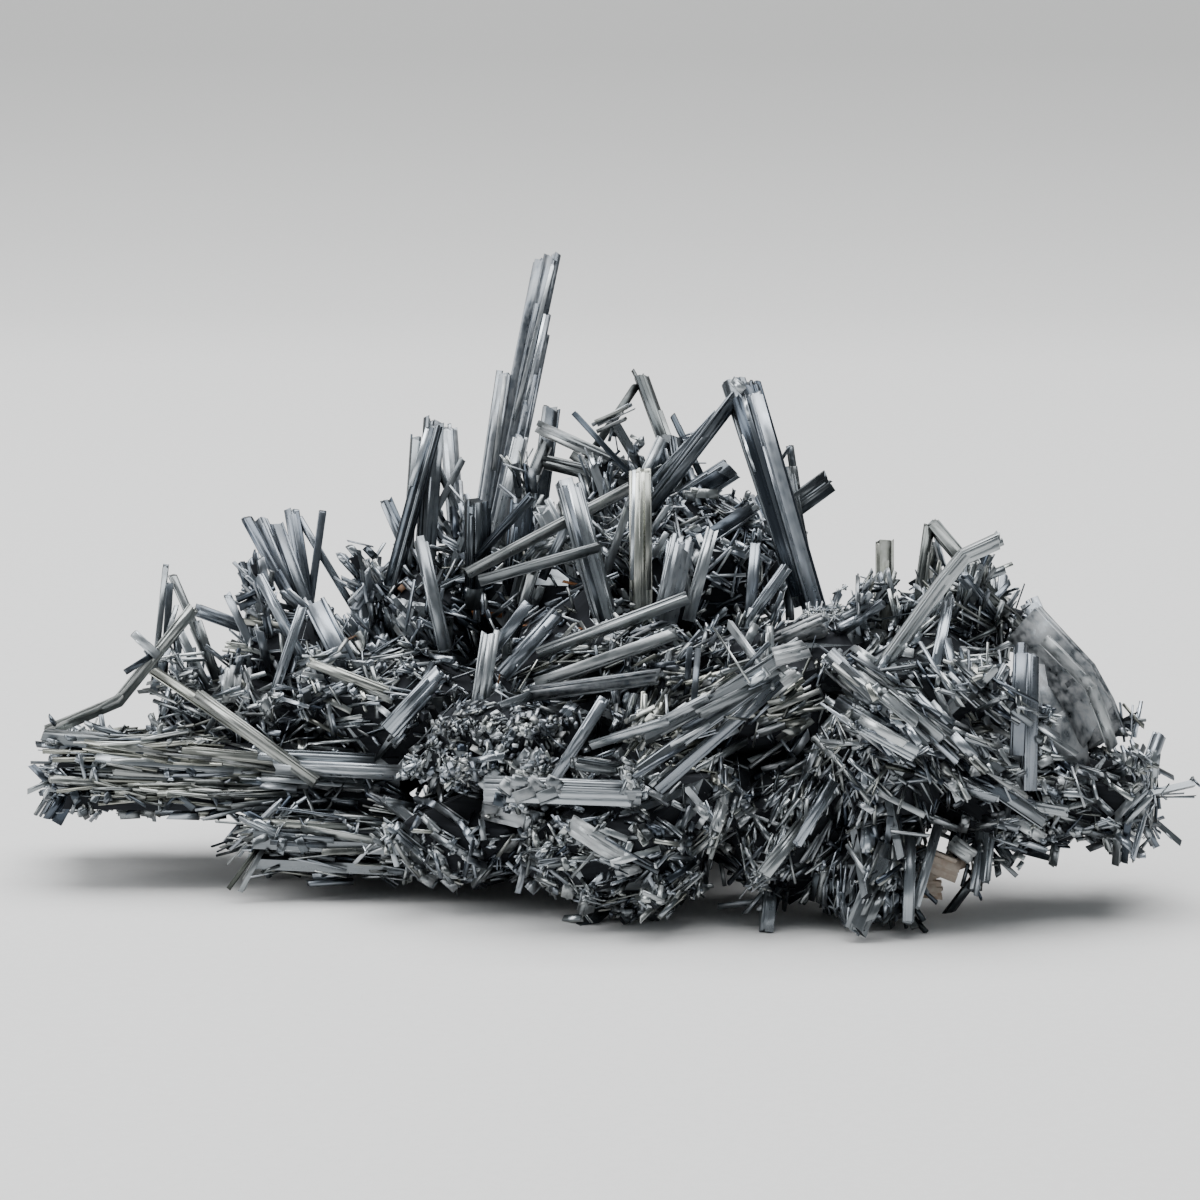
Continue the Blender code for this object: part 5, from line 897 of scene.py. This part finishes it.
class Heap:
    """Crystals gathered into one mesh, each a stack of rings: an array (rings, sides, 3) from foot to tip."""

    templates = {}

    def __init__(self):
        self.points = []
        self.corners = []
        self.sizes = []
        self.grain = []
        self.tints = []
        self.total = 0

    @classmethod
    def template(cls, many, sides):
        """Corner indices, face sizes, and each corner's place round and along the crystal."""
        key = (many, sides)
        if key not in cls.templates:
            corners, sizes, places = [], [], []
            for ring in range(many - 1):
                for side in range(sides):
                    after = (side + 1) % sides
                    corners += [ring * sides + side, ring * sides + after]
                    corners += [(ring + 1) * sides + after, (ring + 1) * sides + side]
                    places += [(side, ring), (side + 1, ring), (side + 1, ring + 1), (side, ring + 1)]
                    sizes.append(4)
            for ring, order in ((0, range(sides - 1, -1, -1)), (many - 1, range(sides))):
                corners += [ring * sides + side for side in order]
                places += [(side, ring) for side in order]
                sizes.append(sides)
            cls.templates[key] = (np.array(corners), sizes, np.array(places))
        return cls.templates[key]

    def add(self, rings, tint):
        """One crystal, with its tint and, in millimetres, where its surface is round and along it."""
        many, sides = rings.shape[:2]
        corners, sizes, places = self.template(many, sides)
        edges = np.linalg.norm(np.roll(rings[0], -1, axis=0) - rings[0], axis=1) / MM
        around = np.concatenate(([0.0], np.cumsum(edges)))
        steps = np.linalg.norm(np.diff(rings.mean(axis=1), axis=0), axis=1) / MM
        along = np.concatenate(([0.0], np.cumsum(steps)))
        grain = np.empty((len(corners), 3))
        grain[:, 0] = around[places[:, 0]]
        grain[:, 1] = along[places[:, 1]]
        grain[:, 2] = rng.uniform(0, GRAIN_START)
        self.points.append(rings.reshape(-1, 3))
        self.corners.append(corners + self.total)
        self.sizes += sizes
        self.grain.append(grain)
        self.tints.append(np.tile((*tint, 1.0), (many * sides, 1)))
        self.total += many * sides

    def make(self, name, material):
        """The mesh object of all that was added."""
        corners = np.concatenate(self.corners)
        points = np.concatenate(self.points)
        points[:, 2] = np.maximum(points[:, 2], LOWEST)
        mesh = bpy.data.meshes.new(name)
        mesh.vertices.add(len(points))
        mesh.vertices.foreach_set("co", points.ravel())
        mesh.loops.add(len(corners))
        mesh.loops.foreach_set("vertex_index", corners)
        mesh.polygons.add(len(self.sizes))
        mesh.polygons.foreach_set("loop_start", np.concatenate(([0], np.cumsum(self.sizes)[:-1])))
        mesh.update(calc_edges=True)
        grain = mesh.attributes.new("grain", "FLOAT_VECTOR", "CORNER")
        grain.data.foreach_set("vector", np.concatenate(self.grain).ravel())
        tint = mesh.attributes.new("tint", "FLOAT_COLOR", "POINT")
        tint.data.foreach_set("color", np.concatenate(self.tints).ravel())
        mesh.materials.append(material)
        return put(name, mesh)


def lath_section(width, thickness):
    """A flat bar with bevelled edges."""
    half, depth = width / 2, thickness / 2
    bevel = min(half, depth) * rng.uniform(*BEVEL)
    return np.array([
        (half, -depth + bevel), (half, depth - bevel), (half - bevel, depth), (bevel - half, depth),
        (-half, depth - bevel), (-half, bevel - depth), (bevel - half, -depth), (half - bevel, -depth),
    ])


def rod_section(width, thickness):
    """A six-sided bar, with its corners a little out of true."""
    half, depth = width / 2, thickness / 2
    flat = half * rng.uniform(*ROD_FLAT)
    return np.array([(half, 0), (flat, depth), (-flat, depth), (-half, 0), (-flat, -depth), (flat, -depth)])


def needle_section(width, thickness):
    """A four-sided bar."""
    half, depth = width / 2, thickness / 2
    return np.array([(half, 0), (0, depth), (-half, 0), (0, -depth)])


def sweep(path, start, stop, offset, section, ring_count, end_slope):
    """Rings along a path. The last slopes, as a broken or chisel-shaped end does."""
    rings = np.empty((ring_count, len(section), 3))
    lean = rng.uniform(0, math.tau)
    slopes = section @ np.array((math.cos(lean), math.sin(lean))) * end_slope
    slopes -= slopes.max()
    last = ring_count - 1
    for index in range(ring_count):
        centre, along, across, deep = path.at(start + (stop - start) * index / last)
        swell = 1 + rng.uniform(-SWELL, SWELL) if 0 < index < last else 1
        outline = section * swell + np.array(offset)
        rings[index] = np.array(centre) + outline[:, :1] * np.array(across) + outline[:, 1:] * np.array(deep)
    rings[last] += slopes[:, None] * np.array(along)
    return rings


def lath_edges(width):
    """Where the laths on one face of a large crystal part, from -0.5 to 0.5 across it."""
    count = clamp(round(width / LATH_WIDTH), 1, MOST_LATHS) if width < SHELL_WIDTH else 1
    return [-0.5] + sorted(rng.uniform(-LATH_CUT, LATH_CUT) for _ in range(count - 1)) + [0.5]


def add_bundle(heap, crystal, tint):
    """A large crystal: a prism, and the flat laths grown along its sides, which end a little apart."""
    path = Path([seen(*point) for point in crystal.route], crystal.roll)
    width, thickness = crystal.width * MM, crystal.thickness * MM
    foot = -min(crystal.root, DEEPEST_ROOT) * MM
    ring_count = 2 + int(path.length / (RING_EVERY * MM)) + 2 * (len(crystal.route) - 2)
    core = rod_section(width * CORE_WIDTH, thickness * CORE_THICKNESS)
    stop = path.length - rng.uniform(0.0, CORE_SHORTER) * width
    heap.add(sweep(path, foot, stop, (0, 0), core, ring_count, CORE_SLOPE), tint)
    edges = lath_edges(crystal.width)
    for face in (-1, 1):
        for low, high in zip(edges, edges[1:]):
            middle = (low + high) / 2
            bulge = math.sqrt(max(1 - (2 * middle) ** 2 * ROUNDNESS, FLATTEST))
            depth = thickness * rng.uniform(*LATH_DEPTH)
            aside = face * thickness * 0.5 * bulge * rng.uniform(*LATH_OUT) - face * depth / 2
            stop = path.length - abs(rng.gauss(0, UNEVEN_END)) * width
            if rng.random() < SHORT_LATHS:
                stop = path.length * rng.uniform(*SHORT_LENGTH)
            section = lath_section(max(high - low, NARROWEST_LATH) * width, depth)
            shade = tint._replace(light=clamp(tint.light + rng.gauss(0, LATH_SHADE)))
            slope = rng.uniform(0, LATH_SLOPE)
            heap.add(sweep(path, foot, stop, (middle * width, aside), section, ring_count, slope), shade)


def in_box(point):
    """Whether a point is in the solids' box, or hardly outside it."""
    low, high = cad_box
    return all(a - BEYOND <= p <= b + BEYOND for a, p, b in zip(low, point, high))


def add_small(heap, start, stop, width, tint):
    """One small crystal between two places, unless it would come out of the box."""
    if min(start.z, stop.z) < LOWEST or not (in_box(start) and in_box(stop)):
        return
    path = Path([start, stop], rng.uniform(0, 180))
    if width < NEEDLE_WIDTH * MM:
        section = needle_section(width, width * NEEDLE_THICKNESS)
    elif rng.random() < ROD_SHARE:
        section = rod_section(width, width * rng.uniform(*ROD_THICKNESS))
    else:
        section = lath_section(width, width * rng.uniform(*LATH_THICKNESS))
    rings = sweep(path, 0, path.length, (0, 0), section, 2, rng.uniform(0, SMALL_SLOPE))
    heap.add(rings, vary(tint, SMALL_VARY))


def add_sprig(heap, start, stop, width, tint):
    """One to four small crystals side by side."""
    along = stop - start
    shade = vary(tint, SMALL_VARY)
    for _ in range(rng.choice(SPRIG_COUNTS)):
        aside = stray(SPRIG_ASIDE) * width
        swing = stray(SPRIG_STRAY) * along.length
        from_here = start + aside + along * rng.uniform(0.0, SPRIG_UNEVEN)
        to_there = stop + aside + swing - along * rng.uniform(0.0, SPRIG_UNEVEN)
        add_small(heap, from_here, to_there, width * rng.uniform(*SPRIG_WIDTH), shade)


def scatter(heap, place, normal, along, lies, length, width, tint):
    """A small crystal or a few, lying across the mass at a place, or standing on it."""
    if lies:
        along = (along - normal * (along.dot(normal) * rng.uniform(*FLATTENED))).normalized()
        middle = place + normal * rng.uniform(*OUT_OF_MASS) * MM
        start = middle - along * length * 0.5
        stop = middle + along * length * 0.5
    else:
        if along.dot(normal) < LEAST_RISE:
            along = (along + normal * (BENT_UP - along.dot(normal))).normalized()
        start = place - along * ROOT_DEPTH * MM
        stop = place + along * length * SHOWN_LENGTH
    add_sprig(heap, start, stop, width, tint)


def grow(heap, growth, surface):
    """The crystals of one growth, on the mass."""
    lean = heading(*growth.lean)
    for _ in range(growth.count):
        near = seen(*(c + rng.uniform(-1, 1) * r for c, r in zip(growth.centre, growth.reach)))
        place, normal, _, _ = surface.find_nearest(near)
        along = (lean + stray(1).normalized() * growth.scatter).normalized()
        lies = rng.random() < growth.lie
        sizes = between(*growth.length), between(*growth.width)
        scatter(heap, place, normal, along, lies, *sizes, growth.tint)


def flow(place):
    """The direction that the crystals near a place of the mass share: slow waves through it."""
    x, y, z = place / MM
    return Vector((
        math.sin(z * 0.13 + y * 0.05 + 1),
        math.cos(x * 0.09 + z * 0.04),
        math.sin(y * 0.11 - x * 0.06),
    ))


def fill(heap, mesh, amount):
    """Crystals all over the mass, so that no side of it is bare."""
    mesh.calc_loop_triangles()
    triangles = [
        t for t in mesh.loop_triangles
        if t.normal.y >= amount.facing and mesh.vertices[t.vertices[0]].co.y >= amount.front * MM
    ]
    areas = [triangle.area for triangle in triangles]
    for triangle in rng.choices(triangles, weights=areas, k=amount.count):
        a, b, c = (mesh.vertices[index].co for index in triangle.vertices)
        u, v = rng.random(), rng.random()
        if u + v > 1:
            u, v = 1 - u, 1 - v
        place = a + (b - a) * u + (c - a) * v
        along = (stray(1).normalized() * amount.stray + flow(place)).normalized()
        lies = rng.random() < FILL_LIES or triangle.normal.z < OVERHANG
        tint = rng.choice((PLAIN, BLUE, DARK))
        sizes = between(*amount.length), between(*amount.width)
        scatter(heap, place, triangle.normal, along, lies, *sizes, tint)


def depth_behind(across, up, surface):
    """How far behind the sight board the mass is, at a point of the board, or None off the mass."""
    eye = seen(0, 0, -EYE_DISTANCE)
    way = (seen(across, up, 0) - eye).normalized()
    hit = surface.ray_cast(eye, way)[0]
    return (hit - eye).dot(heading(0, 0, 1)) / MM - EYE_DISTANCE if hit else None


def lay(heap, surface, x0, y0, x1, y1, width, tint=PLAIN):
    """A crystal between two points of the sight board, in front of whatever the mass has behind it."""
    depths = [(t, depth_behind(x0 + (x1 - x0) * t, y0 + (y1 - y0) * t, surface)) for t in SAMPLES]
    known = [(t, depth) for t, depth in depths if depth is not None]
    if not known:
        return
    reach = math.hypot(x1 - x0, y1 - y0)
    foot = known[0][1]
    slope = min((depth - foot) / t for t, depth in known[1:] if t > 0) if len(known) > 1 else 0.0
    slope = clamp(slope, STEEPEST_NEARER * reach, STEEPEST_AWAY * reach)
    foot = max(min(foot, min(depth - slope * t for t, depth in known)) - LIFT, NEAREST)
    tip = foot + max(slope, NEAREST - foot)
    shade = vary(tint, SMALL_SHADE)
    if width < LATH_WIDTH:
        start, stop = seen(x0, y0, foot), seen(x1, y1, tip)
        root = (stop - start).normalized() * SMALL_ROOT * MM
        add_small(heap, start - root, stop, width * MM, shade)
    else:
        roll = rng.uniform(-SMALL_ROLL, SMALL_ROLL)
        route = ((x0, y0, foot), (x1, y1, tip))
        add_bundle(heap, Crystal(route, width, width * SMALL_THICKNESS, roll, SMALL_ROOT), shade)


def cover_mass(node, looks):
    """The mass itself: dull and near black where it is bulk, painted shade for its hollows, and striated
    along its grain where it is crystals.
    """
    mesh = node.data.copy()
    mesh.name = "mass_core"
    grain = mesh.attributes.new("grain", "FLOAT_VECTOR", "CORNER")
    tint = mesh.attributes.new("tint", "FLOAT_COLOR", "POINT")
    slender = []
    for polygon in mesh.polygons:
        corners = [mesh.vertices[index].co for index in polygon.vertices]
        edges = [b - a for a, b in zip(corners, corners[1:] + corners[:1])]
        longest = max(edges, key=lambda edge: edge.length)
        breadth = polygon.area * (2 if len(corners) == 3 else 1) / longest.length
        slender.append(SLENDER * breadth < longest.length and breadth < WIDEST_FACE)
        along = longest.normalized()
        across = polygon.normal.cross(along)
        for loop in polygon.loop_indices:
            point = mesh.vertices[mesh.loops[loop].vertex_index].co / MM
            grain.data[loop].vector = (point.dot(across), point.dot(along), polygon.index % FACE_STARTS)
    for item in tint.data:
        item.color = (*CORE_TINT, 1.0)
    mesh.materials.clear()
    for look in looks:
        mesh.materials.append(look)
    mesh.polygons.foreach_set("material_index", slender)
    return put("mass_core", mesh)


class Nodes:
    """Short way to make and join shader nodes."""

    def __init__(self, tree):
        self.tree = tree

    def add(self, kind, sockets, **settings):
        """A node, with what goes into its sockets and its other settings."""
        node = self.tree.nodes.new(kind)
        for key, value in settings.items():
            setattr(node, key, value)
        self.set(node, sockets)
        return node

    def set(self, node, sockets):
        """Each socket's value is a constant or another node's output."""
        for key, value in sockets.items():
            if isinstance(value, bpy.types.NodeSocket):
                self.tree.links.new(value, node.inputs[key])
            else:
                node.inputs[key].default_value = value

    def attribute(self, name, output):
        return self.add("ShaderNodeAttribute", {}, attribute_name=name).outputs[output]

    def split(self, colour):
        return self.add("ShaderNodeSeparateColor", {0: colour}).outputs[:3]

    def math(self, operation, a, b, use_clamp=False):
        return self.add("ShaderNodeMath", {0: a, 1: b}, operation=operation, use_clamp=use_clamp).outputs[0]

    def mix(self, share, a, b):
        return self.add("ShaderNodeMix", {0: share, 6: a, 7: b}, data_type="RGBA").outputs[2]

    def noise(self, vector, scale, detail=2.0, roughness=0.5):
        sockets = {"Vector": vector, "Scale": scale, "Detail": detail, "Roughness": roughness}
        return self.add("ShaderNodeTexNoise", sockets).outputs["Fac"]

    def ramp(self, value, low, high, out_low=0.0, out_high=1.0):
        sockets = {0: value, 1: low, 2: high, 3: out_low, 4: out_high}
        return self.add("ShaderNodeMapRange", sockets, clamp=True).outputs[0]

    def stretched(self, vector, scale):
        return self.add("ShaderNodeMapping", {"Vector": vector, "Scale": scale}).outputs[0]


def new_look(name):
    """A new material, its nodes and its shader."""
    material = bpy.data.materials.new(name)
    material.use_nodes = True
    return material, Nodes(material.node_tree), material.node_tree.nodes["Principled BSDF"]


def stibnite(name):
    """Metallic antimony sulphide: striated lengthways, blue-grey or olive, dusty in places."""
    material, n, shader = new_look(name)
    grain = n.attribute("grain", "Vector")
    lightness, warmth, dust = n.split(n.attribute("tint", "Color"))
    fine = n.noise(n.stretched(grain, FINE_LINES), 1.0)
    broad = n.noise(n.stretched(grain, BROAD_LINES), 1.0)
    blotch = n.noise(n.stretched(grain, BLOTCHES), 1.0, 3.0, 0.6)
    steel = n.mix(warmth, n.mix(lightness, *COOL_STEEL), n.mix(lightness, *WARM_STEEL))
    both = n.math("ADD", n.math("MULTIPLY", fine, 0.5), n.math("MULTIPLY", broad, 0.5))
    lines = n.ramp(both, *LINE_SHADES)
    striated = n.add("ShaderNodeVectorMath", {0: steel, "Scale": lines}, operation="SCALE").outputs[0]
    cover = n.math("MULTIPLY", dust, n.ramp(blotch, *DUST_EDGE), use_clamp=True)
    relief = {"Strength": RELIEF, "Distance": RELIEF_DEPTH, "Height": fine}
    n.set(shader, {
        "Base Color": n.mix(cover, striated, DUST_COLOUR),
        "Metallic": n.math("SUBTRACT", 1.0, n.math("MULTIPLY", cover, DUST_HIDES)),
        "Roughness": n.math("ADD", n.ramp(broad, *POLISH), n.math("MULTIPLY", cover, DUST_ROUGHNESS), True),
        "Normal": n.add("ShaderNodeBump", relief).outputs[0],
    })
    return material


def painted_shade_core():
    """The inside of the mass, seen between its crystals: dull and near black, painted shade for the hollows
    there.
    """
    material, n, shader = new_look("painted_shade_core")
    lines = n.noise(n.stretched(n.attribute("grain", "Vector"), CORE_LINES), 1.0, 3.0)
    n.set(shader, {"Base Color": n.mix(lines, *CORE_SHADE_COLOURS), "Roughness": DULL, "Specular IOR Level": 0.05})
    return material


def stain_look():
    """Rust-brown and ochre grains."""
    material, n, shader = new_look("rust_look")
    mottle = n.ramp(n.noise(n.attribute("grain", "Vector"), 2.0), *MOTTLE)
    pale = n.math("ADD", n.split(n.attribute("tint", "Color"))[0], mottle, use_clamp=True)
    n.set(shader, {"Base Color": n.mix(pale, *STAIN_COLOURS), "Roughness": 0.8})
    return material


def sheet_look():
    """Pale cloth, with painted shade that greys it where it is far back."""
    material, n, shader = new_look("pale_sheet")
    place = n.add("ShaderNodeTexCoord", {}).outputs["Object"]
    back = n.add("ShaderNodeSeparateXYZ", {0: place}).outputs["Y"]
    cloth = n.mix(n.noise(place, WEAVE, 3.0), *SHEET_COLOURS)
    n.set(shader, {"Base Color": n.mix(n.ramp(back, *SHEET_SHADE_SPAN), cloth, SHADED_SHEET_GREY), "Roughness": DULL})
    return material


def make_stage():
    """A pale sheet that lies flat and curves up behind."""
    front, back, bend, height, half, steps = -1.2, 0.9, 0.5, 1.6, 1.6, 14
    profile = [(front, 0.0), (0.0, 0.0), (back - bend, 0.0)]
    for step in range(1, steps + 1):
        turn = math.pi / 2 * step / steps
        profile.append((back - bend + bend * math.sin(turn), bend - bend * math.cos(turn)))
    profile.append((back, height))
    points = [(side * half, y, z) for side in (-1, 1) for y, z in profile]
    count = len(profile)
    faces = [(i, count + i, count + i + 1, i + 1) for i in range(count - 1)]
    mesh = bpy.data.meshes.new("sheet")
    mesh.from_pydata(points, [], faces)
    mesh.shade_smooth()
    mesh.materials.append(sheet_look())
    obj = put("sheet", mesh)


def light_scene():
    """The room's own light and the lamps."""
    world = bpy.data.worlds.new("room")
    bpy.context.scene.world = world
    world.use_nodes = True
    room = world.node_tree.nodes["Background"]
    room.inputs["Color"].default_value = ROOM_COLOUR
    room.inputs["Strength"].default_value = ROOM_STRENGTH
    for lamp in LAMPS:
        light = bpy.data.lights.new(lamp.name, "AREA")
        light.shape = "RECTANGLE"
        light.size, light.size_y = lamp.size
        light.energy = lamp.power
        obj = put(lamp.name, light)
        obj.location = lamp.place
        obj.rotation_euler = (Vector(lamp.aim) - Vector(lamp.place)).to_track_quat("-Z", "Y").to_euler()


def make_camera():
    """The eye of the sight board, which sees the board's width."""
    inward = heading(0, 0, 1)
    camera = bpy.data.cameras.new("camera")
    camera.sensor_width = SENSOR
    camera.lens = SENSOR * EYE_DISTANCE / BOARD_WIDTH
    camera.clip_start = NEAREST_SEEN
    obj = put("camera", camera)
    obj.location = Vector((0, 0, BOARD_HEIGHT * MM)) - inward * EYE_DISTANCE * MM
    obj.rotation_euler = inward.to_track_quat("-Z", "Y").to_euler()
    bpy.context.scene.camera = obj


def dress_standing(materials):
    """Each standing crystal's striated bundle, in place of its plain solid."""
    for name, crystals in STANDING.items():
        heap = Heap()
        slot = "olive_grey_crystal" if name in OLIVE else "blue_grey_crystal"
        tint = NODE_TINTS.get(name, OLIVE_GREY if name in OLIVE else BLUE)
        for crystal in crystals:
            add_bundle(heap, crystal, vary(tint, STANDING_VARY))
        obj = heap.make(name + "_crystal", materials[slot])
        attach(obj, "root")
        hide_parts(name)


def dress_core(materials):
    """The mass's own solid, as a core darkened with painted shade, in place of the plain one."""
    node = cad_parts["crystal_mass"]
    core = cover_mass(node, (materials["core"], materials["dark_crystal_mass"]))
    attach(core, "root")
    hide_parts("crystal_mass")
    return core.data


def overgrow(mesh):
    """A heap for each piece that grows on the mass, by name."""
    surface = BVHTree.FromPolygons([v.co for v in mesh.vertices], [p.vertices for p in mesh.polygons])
    names = (*SMALL, "slivers", "rust_grains", *GROWTHS, "grown_in_blades", *FILLS)
    heaps = {name: Heap() for name in names}
    for piece, rows in SMALL.items():
        for row in rows:
            lay(heaps[piece], surface, *row)
    for foot, tip, width, thickness, tint in SLIVERS:
        add_bundle(heaps["slivers"], one(foot, tip, width, thickness, root=0), tint)
    add_bundle(heaps["slivers"], SHELL_SLIVER, DUSTY)
    for crystal in PROPS:
        add_bundle(heaps["slivers"], crystal, vary(PLAIN, GROWN_IN_VARY))
    for row in STAINS:
        lay(heaps["rust_grains"], surface, *row, RUST)
    for crystal in OCHRE_CRYSTALS:
        add_bundle(heaps["rust_grains"], crystal, OCHRE)
    for piece, growths in GROWTHS.items():
        for growth in growths:
            grow(heaps[piece], growth, surface)
    for crystal in GROWN_IN:
        add_bundle(heaps["grown_in_blades"], crystal, vary(PLAIN, GROWN_IN_VARY))
    for piece, amount in FILLS.items():
        fill(heaps[piece], mesh, amount)
    return heaps


def dress_mass(materials):
    """The mass's core, darkened with painted shade, and what grows on it."""
    for name, heap in overgrow(dress_core(materials)).items():
        look = "rust" if name == "rust_grains" else "dark_crystal_mass"
        obj = heap.make(name, materials[look])
        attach(obj, "root")


def main():
    make_camera()
    make_stage()
    light_scene()
    slots = ("blue_grey_crystal", "olive_grey_crystal", "dark_crystal_mass")
    materials = {slot: stibnite(slot + "_look") for slot in slots}
    materials["core"] = painted_shade_core()
    materials["rust"] = stain_look()
    dress_standing(materials)
    dress_mass(materials)


main()
